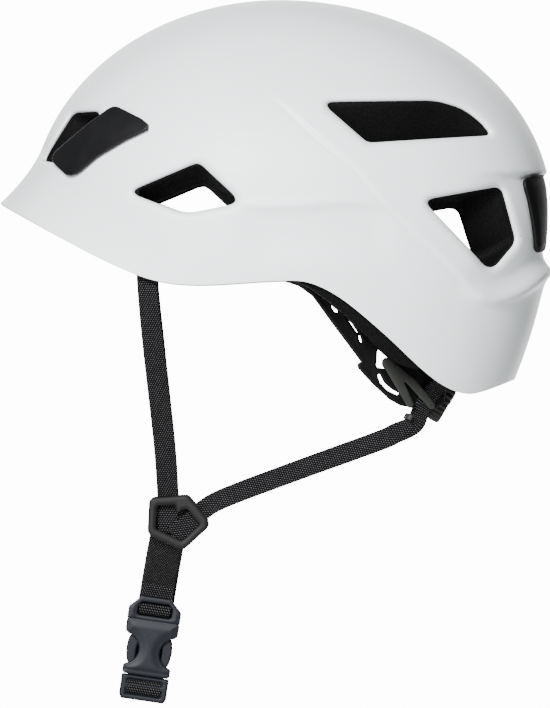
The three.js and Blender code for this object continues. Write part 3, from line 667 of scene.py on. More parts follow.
def build_liner():
    around, levels = LINER_GRID
    grid, faces = dome_grid(around, levels)
    outer_field = lambda p: vent_field(liner_skin(p, OUTER_INSET), VENT_OUTLINES, 1.0)
    inner_field = lambda p: vent_field(liner_skin(p, LINER_INSET, True), TUNNEL_OUTLINES, 0.0)
    outer, outer_faces, outer_loops = clip_faces(grid, faces, outer_field(grid), outer_field)
    inner, inner_faces, inner_loops = clip_faces(grid, faces, inner_field(grid), inner_field)
    points = [*liner_skin(outer, OUTER_INSET), *liner_skin(inner, LINER_INSET, True)]
    shift = len(outer)
    faces = outer_faces + [tuple(i + shift for i in reversed(f)) for f in inner_faces]

    rim = [i * levels for i in range(around)]
    inner_rim = [i + shift for i in rim]
    last = add_rings(points, faces, rim, lower_edge(picked(points, rim), picked(points, inner_rim)))
    faces += bridge(last, inner_rim)

    centres = [picked(points, loop).mean(0) for loop in outer_loops]
    for loop in inner_loops:
        mouth = [i + shift for i in loop]
        end = add_rings(points, faces, mouth, tunnel_rings(picked(points, mouth)))
        gaps = np.linalg.norm(centres - picked(points, end).mean(0), axis=1)
        faces += zip_loops(np.array(points), end, outer_loops[gaps.argmin()])
    liner = make_object("liner", points, faces)
    edit_mesh(liner, face_outwards)
    return liner


# ---------------------------------------------------------------- plates with rounded edges


PLATE_RINGS = (0.8, 0.62, 0.45, 0.3, 0.18, 0.08, 0.0)  # share left of the strip along an edge


def flat_grid(low, high, spacing):
    """Points of a flat grid between two corners, and its quads."""
    us, vs = (np.linspace(a, b, max(int((b - a) / spacing), 4)) for a, b in zip(low, high))
    wide = len(vs)
    faces = [
        (i * wide + j, (i + 1) * wide + j, (i + 1) * wide + j + 1, i * wide + j + 1)
        for i in range(len(us) - 1)
        for j in range(wide - 1)
    ]
    return np.stack(np.meshgrid(us, vs, indexing="ij"), -1).reshape(-1, 2), faces


def plate_grid(outline, holes, spacing, rounding):
    """A flat plate divided finely along its edges: its 2-D points, their distance from the edge,
    its faces and the loops along its edges."""
    edges = [np.asarray(edge, float) for edge in (outline, *holes)]

    def inside(points):
        gaps = [nearest_on(edge, points)[1] for edge in edges]
        return np.minimum.reduce([-gaps[0], *gaps[1:]])

    grid, faces = flat_grid(edges[0].min(0) - spacing, edges[0].max(0) + spacing, spacing)
    evaluate = lambda p: inside(p) - rounding
    field = evaluate(grid)
    field[np.abs(field) < 0.12 * spacing] = 0
    params, faces, loops = clip_faces(grid, faces, field, evaluate)
    params, depth, ends = list(params), list(inside(params)), []
    for loop in loops:
        start = picked(params, loop)
        near = min((nearest_on(edge, start) for edge in edges), key=lambda found: np.abs(found[1]).mean())[0]
        rings = [near + (start - near) * share for share in PLATE_RINGS]
        depth += [gap for ring in rings for gap in np.linalg.norm(ring - near, axis=1)]
        ends.append(add_rings(params, faces, loop, rings))
    used = sorted({i for f in faces for i in f})
    new = {old: k for k, old in enumerate(used)}
    faces, ends = ([tuple(new[i] for i in f) for f in group] for group in (faces, ends))
    return picked(params, used), picked(depth, used), faces, ends


def rounded_drop(depth, radius):
    """How far a rounded edge has dropped at a distance in from it."""
    d = np.clip(radius - depth, 0, radius)
    return radius - np.sqrt(np.maximum(radius**2 - d**2, 0))


def plate_parts(outline, holes, thickness, rounding, place, spacing=1.2, top=None, bottom=None):
    """Points and faces of a closed plate. place(u, v, h) gives 3-D points; top and bottom add height."""
    rounding = min(rounding, thickness / 2)
    params, depth, faces, ends = plate_grid(outline, holes, spacing, rounding)
    u, v = params.T
    half = thickness / 2 - rounded_drop(depth, rounding)
    high = half + (top(u, v, depth) if top else 0)
    low = -half + (bottom(u, v, depth) if bottom else 0)
    shift = len(params)
    closed = faces + [tuple(i + shift for i in reversed(f)) for f in faces]
    for loop in ends:
        closed += bridge(loop, [i + shift for i in loop])
    return np.vstack([place(u, v, high), place(u, v, low)]), closed


def joined(parts):
    """One list of points and faces from several."""
    points, faces = [], []
    for part_points, part_faces in parts:
        shift = sum(len(p) for p in points)
        points.append(part_points)
        faces += [tuple(i + shift for i in f) for f in part_faces]
    return np.vstack(points), faces


def finished(name, points, faces):
    """A closed piece: doubles merged and faces turned outwards."""

    def close(work):
        bmesh.ops.remove_doubles(work, verts=work.verts, dist=2e-6)
        face_outwards(work)

    obj = make_object(name, points, faces)
    edit_mesh(obj, close)
    return obj


def plate(name, *args, **kwargs):
    return finished(name, *plate_parts(*args, **kwargs))


def mirrored(points, faces):
    flipped = np.array(points, float)
    flipped[:, 0] *= -1
    return flipped, [tuple(reversed(f)) for f in faces]


# ---------------------------------------------------------------- ribbons: webbing and bands


def smooth_path(stops, count):
    """Points at an even spacing along a smooth curve through stops (N by 3)."""
    stops = np.asarray(stops, float)
    extended = np.vstack([2 * stops[0] - stops[1], stops, 2 * stops[-1] - stops[-2]])
    dense = []
    for i in range(1, len(extended) - 2):
        p0, p1, p2, p3 = extended[i - 1 : i + 3]
        t = np.linspace(0, 1, 24, endpoint=False)[:, None]
        square, cube = 2 * p0 - 5 * p1 + 4 * p2 - p3, 3 * p1 - p0 - 3 * p2 + p3
        dense.append(0.5 * (2 * p1 + (p2 - p0) * t + square * t**2 + cube * t**3))
    dense = np.vstack(dense + [stops[-1:]])
    lengths = np.r_[0, np.cumsum(np.linalg.norm(np.diff(dense[:, :3], axis=0), axis=1))]
    at = np.linspace(0, lengths[-1], count)
    return np.stack([np.interp(at, lengths, dense[:, k]) for k in range(dense.shape[1])], 1), lengths[-1]


SECTION_STEPS = 14
EDGE_TURN = np.linspace(0, math.pi, 6)[1:-1]
WEAVE_UNIT = 0.1  # the weave is laid out in centimetres


def section_points(width, thickness):
    """A ribbon's cross-section: flat faces and rounded edges, as (across, through) points in order."""
    edge = thickness / 2
    flat = width / 2 - edge
    half = [(x, edge) for x in np.linspace(flat, -flat, SECTION_STEPS)]
    half += [(-flat - edge * math.sin(a), edge * math.cos(a)) for a in EDGE_TURN]
    return np.array(half + [(-x, -y) for x, y in half])


def ribbon_frames(stops, spacing):
    """Centres, directions across and through, and distances along a ribbon. Each stop is (centre, across)."""
    table = np.array([[*centre, *unit(across)] for centre, across in stops])
    _, length = smooth_path(table, 50)
    path, length = smooth_path(table, max(int(length / spacing), 6))
    centre, across = path[:, :3], path[:, 3:]
    along = np.gradient(centre, axis=0)
    along /= np.linalg.norm(along, axis=1, keepdims=True)
    across = across - along * (across * along).sum(1, keepdims=True)
    across /= np.linalg.norm(across, axis=1, keepdims=True)
    return centre, across, np.cross(along, across), np.linspace(0, length, len(path))


def ribbon(name, stops, width, thickness, spacing=1.5):
    """A flat strap swept along stops, with a UV map for its weave."""
    centre, across, through, along = ribbon_frames(stops, spacing)
    section = section_points(width, thickness)
    sides = len(section)
    points = centre[:, None] + across[:, None] * section[:, :1] + through[:, None] * section[:, 1:]
    corners = []
    for i in range(len(centre) - 1):
        for k in range(sides):
            n = (k + 1) % sides
            corners.append([(i, k), (i, n), (i + 1, n), (i + 1, k)])
    corners.append([(0, k) for k in reversed(range(sides))])
    corners.append([(len(centre) - 1, k) for k in range(sides)])
    faces = [[row * sides + k for row, k in face] for face in corners]
    obj = make_object(name, points.reshape(-1, 3), faces)
    layer = obj.data.uv_layers.new(name="weave")
    spots = [(along[row], section[k][0]) for face in corners for row, k in face]
    layer.data.foreach_set("uv", np.ravel(spots) * WEAVE_UNIT)
    return obj


def keep_vertices(kept):
    """A mesh job that deletes all other vertices and closes the ends."""

    def job(work):
        work.verts.ensure_lookup_table()
        bmesh.ops.delete(work, geom=[v for v in work.verts if v.index not in kept], context="VERTS")
        bmesh.ops.holes_fill(work, edges=[e for e in work.edges if e.is_boundary], sides=0)

    return job


def cut_ribbon(name, stops, width, thickness, cuts, spacing=1.5):
    """A ribbon in several pieces that meet exactly, cut at shares of its length, and where each one ends."""
    centre = ribbon_frames(stops, spacing)[0]
    limits = [int(round(share * (len(centre) - 1))) for share in (0, *cuts, 1)]
    whole = ribbon(name + "_whole", stops, width, thickness, spacing)
    sides = len(section_points(width, thickness))
    pieces = []
    for letter, low, high in zip("abcdef", limits, limits[1:]):
        piece = whole.copy()
        piece.data = whole.data.copy()
        piece.name = piece.data.name = f"{name}_{letter}"
        bpy.context.scene.collection.objects.link(piece)
        edit_mesh(piece, keep_vertices(range(low * sides, (high + 1) * sides)))
        pieces.append(piece)
    bpy.data.objects.remove(whole)
    return pieces, [Vector(centre[i] * MM) for i in limits]


# ---------------------------------------------------------------- materials

SHELL_TONE = (0.765, 0.812, 0.828)
FOAM_TONE = 0.0013
FOAM_SEAM = 0.003
WEB_TONE = (0.0012, 0.0012, 0.0015)
WEB_SPECK = (0.1, 0.099, 0.104)
PLASTIC_TONE = (0.0022, 0.0022, 0.0024)
# painted light: the front clips get this lighter black, while the rear clips of the same plastic get the darker
# PLASTIC_TONE as painted shade
FRONT_CLIP_LIT_TONE = (0.0052, 0.0052, 0.0056)
DIVIDER_TONE = (0.005, 0.005, 0.0053)
GREY_TONE = (0.018, 0.0192, 0.0172)
BUCKLE_TONE = (0.0038, 0.0046, 0.007)


class Nodes:
    """A small helper that adds and links the nodes of one material."""

    def __init__(self, name):
        self.material = bpy.data.materials.new(name)
        self.material.use_nodes = True
        self.tree = self.material.node_tree
        self.shader = self.tree.nodes["Principled BSDF"]

    def put(self, socket, value):
        if isinstance(value, bpy.types.NodeSocket):
            self.tree.links.new(value, socket)
        else:
            socket.default_value = value

    def add(self, kind, sockets=None, **settings):
        """A new node, with its inputs filled by name or number from sockets."""
        node = self.tree.nodes.new(kind)
        for key, value in settings.items():
            setattr(node, key, value)
        for key, value in (sockets or {}).items():
            self.put(node.inputs[key], value)
        return node

    def math(self, operation, a, b=0.0, clamp=False):
        return self.add("ShaderNodeMath", {0: a, 1: b}, operation=operation, use_clamp=clamp).outputs[0]

    def times(self, a, b):
        return self.math("MULTIPLY", a, b)

    def place(self, stretch=None):
        spot = self.add("ShaderNodeTexCoord").outputs["Object"]
        if stretch is None:
            return spot
        return self.add("ShaderNodeMapping", {"Scale": stretch, "Vector": spot}).outputs[0]

    def noise(self, scale, detail, stretch=None, roughness=0.55):
        sockets = {"Vector": self.place(stretch), "Scale": scale, "Detail": detail, "Roughness": roughness}
        return self.add("ShaderNodeTexNoise", sockets).outputs["Fac"]

    def cells(self, scale, feature="F1"):
        sockets = {"Vector": self.place(), "Scale": scale}
        return self.add("ShaderNodeTexVoronoi", sockets, feature=feature).outputs["Distance"]

    def ramp(self, value, low, high, start=0.0, end=1.0):
        sockets = {"Value": value, "From Min": start, "From Max": end, "To Min": low, "To Max": high}
        return self.add("ShaderNodeMapRange", sockets).outputs["Result"]

    def colour(self, value, first, second, start=0.3, end=0.7):
        node = self.add("ShaderNodeValToRGB", {0: value})
        for stop, place, colour in zip(node.color_ramp.elements, (start, end), (first, second)):
            stop.position = place
            stop.color = (*colour, 1)
        return node.outputs[0]

    def bump(self, height, distance, strength, under=None):
        sockets = {"Strength": strength, "Distance": distance, "Height": height}
        if under is not None:
            sockets["Normal"] = under
        return self.add("ShaderNodeBump", sockets).outputs[0]

    def finish(self, **sockets):
        for name, value in sockets.items():
            self.put(self.shader.inputs[name.replace("_", " ")], value)
        return self.material


def shade(value, tint=(1, 1, 1)):
    return tuple(value * t for t in tint)


def shell_material():
    n = Nodes("shell_white")
    tone = n.noise(9, 3)
    scuff = n.noise(55, 6, (1, 0.25, 1.6), 0.7)
    peel = n.noise(900, 2)
    broad = n.noise(140, 2)
    normal = n.bump(peel, 0.00006, 0.35, n.bump(broad, 0.0002, 0.25))
    scratched = n.ramp(scuff, 0.0, 0.2, 0.6, 0.75)
    rough = n.math("ADD", n.ramp(tone, 0.42, 0.52), scratched)
    return n.finish(
        Base_Color=n.colour(tone, SHELL_TONE, shade(1.04, SHELL_TONE), 0.3, 0.75),
        Roughness=rough,
        Normal=normal,
        Coat_Weight=0.1,
        Coat_Roughness=0.3,
    )


def foam_material():
    n = Nodes("foam_black")
    bead = n.cells(520, "SMOOTH_F1")
    seam = n.cells(520, "DISTANCE_TO_EDGE")
    grain = n.noise(2600, 3)
    height = n.math("SUBTRACT", n.ramp(seam, 0.0, 1.0, 0.0, 0.12), n.times(bead, 0.7))
    normal = n.bump(grain, 0.00008, 0.4, n.bump(height, 0.00022, 0.5))
    return n.finish(
        Base_Color=n.colour(seam, shade(FOAM_TONE), shade(FOAM_SEAM, (1, 1, 1.03)), 0.0, 0.12),
        Roughness=n.ramp(bead, 0.62, 0.86),
        Normal=normal,
        Specular_IOR_Level=0.06,
    )


SPREAD = 1.35  # how much lighter a moulded plastic's clouds are, and its convex edges, where a highlight is painted
EDGE_HIGHLIGHT = 2.3


def moulded_material(name, tone, roughness, grain_depth=0.00005):
    """Matt moulded plastic: spark-eroded grain, slight cloudiness, and a painted highlight: paler colour along
    its convex edges.
    """
    n = Nodes(name)
    grain = n.noise(3200, 2)
    cloud = n.noise(70, 4)
    # painted highlight: convex edges (high pointiness) get a paler colour, standing in for light caught on the
    # bevels
    pointiness = n.add("ShaderNodeNewGeometry").outputs["Pointiness"]
    edge_highlight_mask = n.ramp(pointiness, 0.0, 1.0, 0.53, 0.6)
    share = n.times(edge_highlight_mask, n.ramp(cloud, 0.2, 0.8))
    clean, paler = n.colour(cloud, tone, shade(SPREAD, tone)), (*shade(EDGE_HIGHLIGHT, tone), 1)
    mix = n.add("ShaderNodeMix", {0: share, 6: clean, 7: paler}, data_type="RGBA")
    return n.finish(
        Base_Color=mix.outputs[2],
        Roughness=n.ramp(cloud, roughness - 0.06, roughness + 0.08),
        Normal=n.bump(grain, grain_depth, 0.6, n.bump(cloud, 0.0003, 0.2)),
        Specular_IOR_Level=0.14,
    )


WEAVE_ROW = 1.15  # millimetres between the weave's rows and columns
WEAVE_COLUMN = 1.3
FLOAT_SLANT = 0.55
FAR_COLUMN = 40.0  # keeps the column numbers above 0


def webbing_material():
    """Woven webbing: staggered floats across, with a paler thread showing here and there."""
    n = Nodes("webbing_black")
    times = n.times
    split = n.add("ShaderNodeSeparateXYZ", {0: n.add("ShaderNodeUVMap", uv_map="weave").outputs[0]})
    rows = times(split.outputs[0], 1 / WEAVE_UNIT / WEAVE_ROW)
    columns = times(split.outputs[1], 1 / WEAVE_UNIT / WEAVE_COLUMN)
    row = n.math("FLOOR", rows)
    stagger = times(n.math("MODULO", row, 2.0), 0.5)
    column = n.math("ADD", n.math("ADD", columns, stagger), FAR_COLUMN)
    along = n.math("SUBTRACT", n.math("FRACT", rows), 0.5)
    across = n.math("SUBTRACT", n.math("FRACT", column), 0.5)
    slant = n.math("ADD", along, times(across, FLOAT_SLANT))
    ellipse = n.math("ADD", times(times(slant, slant), 4.6), times(times(across, across), 3.2))
    float_height = n.math("SUBTRACT", 1.0, ellipse, clamp=True)
    cell = n.add("ShaderNodeCombineXYZ", {0: row, 1: n.math("FLOOR", column)}).outputs[0]
    random = n.add("ShaderNodeTexWhiteNoise", {"Vector": cell}, noise_dimensions="2D")
    paler = n.ramp(random.outputs["Value"], 0.6, 1.0, 0.1, 0.9)
    speck = times(n.ramp(float_height, 0.0, 1.0, 0.68, 0.97), paler)
    fuzz = n.noise(2600, 3)
    tone = n.ramp(times(speck, n.ramp(fuzz, 0.5, 1.2)), 0.0, 1.0)
    return n.finish(
        Base_Color=n.colour(tone, WEB_TONE, WEB_SPECK, 0.0, 1.0),
        Roughness=n.ramp(fuzz, 0.72, 0.95),
        Normal=n.bump(fuzz, 0.00012, 0.5, n.bump(float_height, 0.0004, 0.9)),
        Specular_IOR_Level=0.06,
        Sheen_Weight=0.015,
        Sheen_Roughness=0.4,
    )


def pad_material():
    """Brushed knit over foam, with rows of small dimples."""
    n = Nodes("pad_knit")
    sockets = {"Vector": n.place(), "Scale": 330, "Distortion": 2.2, "Detail": 1.0}
    wave = n.add("ShaderNodeTexWave", sockets, wave_type="BANDS", bands_direction="DIAGONAL")
    fuzz = n.noise(1900, 4)
    hole = n.ramp(n.cells(210), 0.0, 1.0, 0.0, 0.32)
    height = n.math("ADD", n.times(wave.outputs["Fac"], 0.3), hole)
    return n.finish(
        Base_Color=n.colour(fuzz, shade(0.008), shade(0.024, (1, 1, 1.05)), 0.3, 0.75),
        Roughness=n.ramp(fuzz, 0.8, 1.0),
        Normal=n.bump(fuzz, 0.0002, 0.5, n.bump(height, 0.0005, 0.7)),
        Specular_IOR_Level=0.15,
        Sheen_Weight=0.08,
    )


def steel_material():
    n = Nodes("plated_steel")
    brush = n.noise(900, 3, (1, 0.05, 1))
    return n.finish(
        Base_Color=n.colour(brush, shade(0.42), shade(0.6)),
        Metallic=1.0,
        Roughness=n.ramp(brush, 0.22, 0.42),
        Normal=n.bump(brush, 0.00003, 0.4),
    )


SHELL = shell_material()
FOAM = foam_material()
PLASTIC = moulded_material("plastic_black", PLASTIC_TONE, 0.5)
FRONT_CLIP_LIT_PLASTIC = moulded_material("plastic_clip_painted_lit", FRONT_CLIP_LIT_TONE, 0.42)
DIVIDER_PLASTIC = moulded_material("plastic_divider", DIVIDER_TONE, 0.55, 0.00009)
GREY = moulded_material("plastic_grey", GREY_TONE, 0.5)
BUCKLE = moulded_material("plastic_buckle", BUCKLE_TONE, 0.45)
WEBBING = webbing_material()
PAD = pad_material()
STEEL = steel_material()


def put(obj, material, nodes, body=None):
    """Gives a piece its material and slot, hides the nodes it stands for and rides it on its body."""
    obj.data.materials.clear()
    obj.data.materials.append(material)
    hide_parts(*nodes)
    if body:
        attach(obj, body)


def put_pad(pad, node, body):
    put(pad, PAD, [node], body)


def dress(node, material, width=0.35, segments=3):
    """A CAD node kept as it is, with its edges rounded and its material replaced."""
    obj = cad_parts[node]
    for slot in obj.material_slots:
        slot.material = material
    round_edges(obj, width, segments, 32).harden_normals = True


SIDES = (("left", 1), ("right", -1))


def paired(points, faces, sign):
    return (points, faces) if sign > 0 else mirrored(points, faces)


# ---------------------------------------------------------------- headband, pads and side arms

RING_HALF = 80.0
RING_FRONT = 96.0
TEMPLE_Y = 4.0  # where the ring is widest
BAND_FRONT_Z = 10.0
BAND_TEMPLE_Z = -3.0
PIN_Y = TEMPLE_Y - 5


def ring_point(turn, inset, rise):
    """Headband ring: turn 0 is the brow, and a quarter turn is the wearer's left temple."""
    x = (RING_HALF - inset) * np.sin(turn)
    y = TEMPLE_Y - (RING_FRONT + TEMPLE_Y - inset) * np.cos(turn)
    z = BAND_TEMPLE_Z + (BAND_FRONT_Z - BAND_TEMPLE_Z) * np.cos(turn) ** 2 + rise
    return np.stack([x, y, z], -1)


BAND_SCALE = 88.0  # millimetres of band for one radian of turn
BAND_THICKNESS = 1.8
BAND_HEIGHT = 20.0
BAND_TURN = 1.6  # radians from the brow to each end
SLOT_PITCH = 13.2
SLOT_SIZE = (4.2, 1.5)  # half its length and half its height
SLOT_ROW = 5.2  # height of the upper row of slots over the band's middle


def on_ring(inset):
    return lambda u, v, h: ring_point(u / BAND_SCALE, inset - h, v)


def slot_outline(centre, half_length, half_height):
    (x, y), a, b = centre, half_length, half_height
    return box_outline(x - a, y - b, x + a, y + b, b * 0.95, 5)


def box_outline(x0, y0, x1, y1, radius, steps=6):
    return rounded_outline([(x0, y0, radius), (x1, y0, radius), (x1, y1, radius), (x0, y1, radius)], steps)


def circle_outline(centre, radius, count=28):
    a = np.arange(count) * 2 * math.pi / count
    return np.stack([centre[0] + radius * np.cos(a), centre[1] + radius * np.sin(a)], 1)


def build_headband():
    half = BAND_TURN * BAND_SCALE
    holes = []
    for i in range(-9, 10):
        x = i * SLOT_PITCH
        holes += [slot_outline((x, SLOT_ROW), *SLOT_SIZE), slot_outline((x + 0.001, -SLOT_ROW), *SLOT_SIZE)]
    pin_turn = math.acos((TEMPLE_Y - PIN_Y) / (RING_FRONT + TEMPLE_Y)) * BAND_SCALE
    for sign in (1, -1):
        holes.append(circle_outline((sign * pin_turn, 0), 3.0))
    outline = box_outline(-half, -BAND_HEIGHT / 2, half, BAND_HEIGHT / 2, 8)
    rib = lambda u, v, d: 0.5 * np.exp(-((v / 0.9) ** 2)) * smoothstep(1, 3, d)
    band = plate("headband", outline, holes, BAND_THICKNESS, 0.7, on_ring(0.0), 1.4, top=rib)
    put(band, PLASTIC, ["headband_front"], "helmet")


# Pads: thickness, the cross-shaped crown pad's size, and the sewing.
FOREHEAD_PAD = 5.2
CROWN_PAD = 5.0
NAPE_PAD = 4.2
PAD_ROUNDING = 2.2
CROWN_PAD_REACH = 41
CROWN_PAD_ARM = 12.5
CHANNEL_DEPTH = 1.3
CHANNEL_WIDTH = 1.1
BORDER_DROP = 1.0


def quilt(u, depth, pitch, crown):
    """Height of a padded surface: crowned, with sewn channels and a flat stitched border."""
    channel = np.abs(((u / pitch + 0.5) % 1) - 0.5) * pitch
    sewn = CHANNEL_DEPTH * np.exp(-((channel / CHANNEL_WIDTH) ** 2))
    border = smoothstep(1.5, 6.5, depth)
    return border * (crown - sewn) - BORDER_DROP * (1 - border)


def build_forehead_pad():
    half = 0.75 * BAND_SCALE
    outline = box_outline(-half, -8.5, half, 8.5, 7)
    inner = lambda u, v, d: -quilt(u, d, 19, 0.9)
    pad = plate(
        "forehead_comfort_pad", outline, [], FOREHEAD_PAD, PAD_ROUNDING, on_ring(4.2), 1.3, bottom=inner
    )
    put_pad(pad, "forehead_pad", "helmet")


def under_crown(x, y, inset):
    """Points of the dome moved inwards, above places in plan."""
    azimuth = np.arctan2(x, AXIS_Y - y)
    reach = np.hypot(x, y - AXIS_Y)

    def wide(z):
        point = dome_inset(azimuth, z, inset)
        return np.hypot(point[..., 0], point[..., 1] - AXIS_Y) > reach

    height = bisected(np.full(np.shape(x), 40.0), np.full(np.shape(x), CROWN - 1e-4), wide, 30)
    return np.stack([x, y, dome_inset(azimuth, height, inset)[..., 2]], -1)


def build_crown_pad():
    reach, arm = CROWN_PAD_REACH, CROWN_PAD_ARM
    quarter = [(reach, -arm, 6), (reach, arm, 6), (arm, arm, 8)]
    turns = ((1, 0), (0, 1), (-1, 0), (0, -1))
    corners = [(x * c - y * s, x * s + y * c, radius) for c, s in turns for x, y, radius in quarter]
    sewn = lambda u, v, d: -quilt(np.hypot(u, v), d, 15, 0.8)
    place = lambda u, v, h: under_crown(u, AXIS_Y + v, LINER_INSET + 3.6 - h)
    outline = rounded_outline(corners, 6)
    pad = plate("crown_comfort_pad", outline, [], CROWN_PAD, PAD_ROUNDING, place, 1.6, bottom=sewn)
    put_pad(pad, "crown_pad", "helmet")


ARM_THICKNESS = 1.8
ARM_BEND = 0.0034
# Seen from the side: Y, Z, corner radius.
ARM_OUTLINE = [
    (-8, 5, 6), (-8, -10, 6), (6.5, -16, 8), (15, -18.6, 8), (22.1, -23.8, 9), (33.8, -40, 14),
    (47.6, -58.4, 1.2), (45.3, -58.8, 0.8), (46, -61.6, 1.5), (53.3, -69.6, 10), (62.4, -78, 8),
    (67.8, -81, 3), (84.5, -83, 2), (90, -80, 3), (92, -66, 4), (80, -55, 8), (54, -36, 10),
    (35.4, -20, 10), (14, -4, 10), (6, 5, 6),
]
ARM_HOLES = [
    [(24.6, -20.3, 0.4), (29.7, -24.2, 0.5), (29, -26, 0.5)],
    [(31.5, -29.2, 0.8), (33, -27.9, 0.6), (34.6, -29.4, 0.8), (35.7, -32.9, 0.8), (33.4, -32.3, 1)],
    [(37.8, -31.6, 0.3), (42, -37, 1), (46.2, -43.6, 0.3), (45.2, -43.2, 0.3), (40.8, -37, 1)],
    [(45.7, -44.4, 0.4), (46.9, -44.4, 0.4), (48.1, -48.7, 0.5), (46.4, -47.6, 0.6)],
    [(55.6, -51.6, 0.8), (61.6, -54.4, 0.8), (60, -62, 1), (55, -60.8, 0.8)],
    [
        (55.4, -64.4, 0.6), (57.3, -64.6, 0.6), (59.4, -69, 3), (63.8, -72.8, 3), (67.5, -74.6, 0.5),
        (66.2, -75.6, 0.5), (60.8, -73, 3), (57, -69, 3),
    ],
]


def arm_x(y):
    """How far out the arm is: inside the headband, and bent inwards to the rear."""
    return RING_HALF - 2.8 - ARM_BEND * (y + 8) ** 2


def on_arm(offset):
    return lambda u, v, h: np.stack([arm_x(u) + offset + h, u, v], -1)


def build_side_arm():
    """The rear half of the headband's side, seen below the shell: a bent strip with shaped windows."""
    holes = [rounded_outline(hole, 3) for hole in ARM_HOLES] + [circle_outline((PIN_Y, BAND_TEMPLE_Z), 2.8)]
    edge = lambda u, v, d: 0.35 * np.exp(-(((d - 1.1) / 0.5) ** 2))
    outline = rounded_outline(ARM_OUTLINE, 5)
    return plate_parts(outline, holes, ARM_THICKNESS, 0.35, on_arm(0.0), 0.8, top=edge)


FORK_OFFSET = 5.6  # from the arm's middle out to the fork's
FORK_THICKNESS = 2.2
FORK_OUTLINE = [
    (58.2, -59.5, 1.6), (58.7, -56.6, 1.6), (61.2, -55.5, 2), (75.4, -67.4, 3), (86.3, -81, 0.7),
    (83.4, -83.2, 0.7), (71.4, -70, 1), (69.2, -68, 0.8), (75, -81.2, 0.6), (71.8, -82.6, 0.6),
]
FORK_POST = (62, -59.5)


def tube(centre, axis, across, profile, count, modulate=None):
    """A turned form: profile is a list of (radius, distance along the axis)."""
    axis, across = unit(axis), unit(across)
    angle = np.arange(count) * 2 * math.pi / count
    spots = np.cos(angle)[:, None] * across + np.sin(angle)[:, None] * np.cross(axis, across)
    rows = []
    for radius, along in profile:
        reach = radius + (modulate(radius, angle) if modulate else 0 * angle)
        rows.append(np.array(centre, float) + spots * reach[:, None] + axis * along)
    faces = []
    for r in range(len(profile) - 1):
        for i in range(count):
            k = (i + 1) % count
            faces.append((r * count + i, r * count + k, (r + 1) * count + k, (r + 1) * count + i))
    return np.vstack(rows), faces


def capped(points, faces, count):
    last = len(points) - count
    return points, faces + [tuple(reversed(range(count))), tuple(range(last, last + count))]


def build_fork():
    crown = lambda u, v, d: 0.15 * smoothstep(0, 1.6, d)
    outline = rounded_outline(FORK_OUTLINE, 5)
    blade = plate_parts(outline, [], FORK_THICKNESS, 0.8, on_arm(FORK_OFFSET), 0.8, top=crown)
    y, z = FORK_POST
    foot = (arm_x(y) + ARM_THICKNESS / 2 + 1.2, y, z)
    profile = [(2.0, 0), (2.2, 0.3), (2.2, 3.4), (2.6, 4.2)]
    post = capped(*tube(foot, (1, 0, 0), (0, 1, 0), profile, 24), 24)
    return joined([blade, post])


def build_cradle():
    arm = build_side_arm()
    fork = build_fork()
    for side, sign in SIDES:
        piece = finished(f"side_arm_{side}_flex", *paired(*arm, sign))
        put(piece, PLASTIC, [f"side_arm_{side}"])
        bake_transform(piece)
        prongs = finished(f"strap_fork_{side}", *paired(*fork, sign))
        put(prongs, GREY, [f"arm_fork_{side}"], f"arm_end_{side}")


# ---------------------------------------------------------------- nape adjuster

NAPE_ORIGIN = np.array([0.0, 86.0, -72.5])
WHEEL_AXIS = unit([0, 0.867, -0.498])
NAPE_UP = np.cross(WHEEL_AXIS, [1.0, 0, 0])
WHEEL_RIBS = 30
RIB_DEPTH = 1.25
POINTS_A_RIB = 12


def on_frame(origin, across, up, out, middle):
    """Places a flat plate on a plane, with its middle a distance out from it."""

    def place(u, v, h):
        return origin + u[..., None] * across + v[..., None] * up + (h + middle)[..., None] * out

    return place


def on_nape(middle):
    return on_frame(NAPE_ORIGIN, unit([1, 0, 0]), NAPE_UP, WHEEL_AXIS, middle)


def build_wheel():
    """A knurled thumb wheel: rounded ribs round its rim and a dished face with a raised ring."""

    def ribs(radius, angle):
        share = float(smoothstep(9.5, 13.5, radius))
        wave = 0.5 + 0.5 * np.cos(angle * WHEEL_RIBS)
        return -RIB_DEPTH * share * (1 - wave**0.6)

    profile = [
        (2.1, 3.0), (8, 3.0), (12.5, 3.0), (13.6, 3.1), (14.4, 3.5), (14.9, 4.2), (15, 5.2), (15, 8),
        (14.8, 9.0), (14.2, 9.6), (13.2, 9.95), (11.6, 10.0), (11.0, 9.7), (10.7, 9.0), (10.2, 8.6),
        (8.6, 8.5), (7.8, 8.5), (7.4, 8.9), (6.6, 9.0), (6.2, 8.6), (4.4, 8.5), (3.8, 8.2), (2.1, 8.2),
    ]
    count = WHEEL_RIBS * POINTS_A_RIB
    points, faces = tube(NAPE_ORIGIN, WHEEL_AXIS, (1, 0, 0), profile, count, ribs)
    last = (len(profile) - 1) * count
    faces += [(last + i, last + (i + 1) % count, (i + 1) % count, i) for i in range(count)]
    wheel = finished("thumb_wheel", points, faces)
    put(wheel, GREY, ["adjuster_wheel"], "wheel")


def build_nape_cover():
    """The housing's outer cover: a domed plate with a raised collar under the wheel and grip lines."""
    outline = box_outline(-34, -14.5, 34, 14.5, 10, 8)
    hole = circle_outline((0, 0), 7.4, 40)

    def relief(u, v, d):
        radius = np.hypot(u, v)
        collar = -0.7 * smoothstep(15.2, 16.2, radius) * smoothstep(19, 17.5, radius)
        lines = 0.45 * np.cos((np.abs(u) - 20) * 2 * math.pi / 2.4) ** 2 * smoothstep(20, 22, np.abs(u))
        return collar - lines * smoothstep(2.5, 4, d) * smoothstep(31, 29.5, np.abs(u))

    cover = plate("nape_cover_shell", outline, [hole], 1.9, 0.8, on_nape(1.65), 0.8, top=relief)
    put(cover, GREY, ["nape_cover"], "nape")


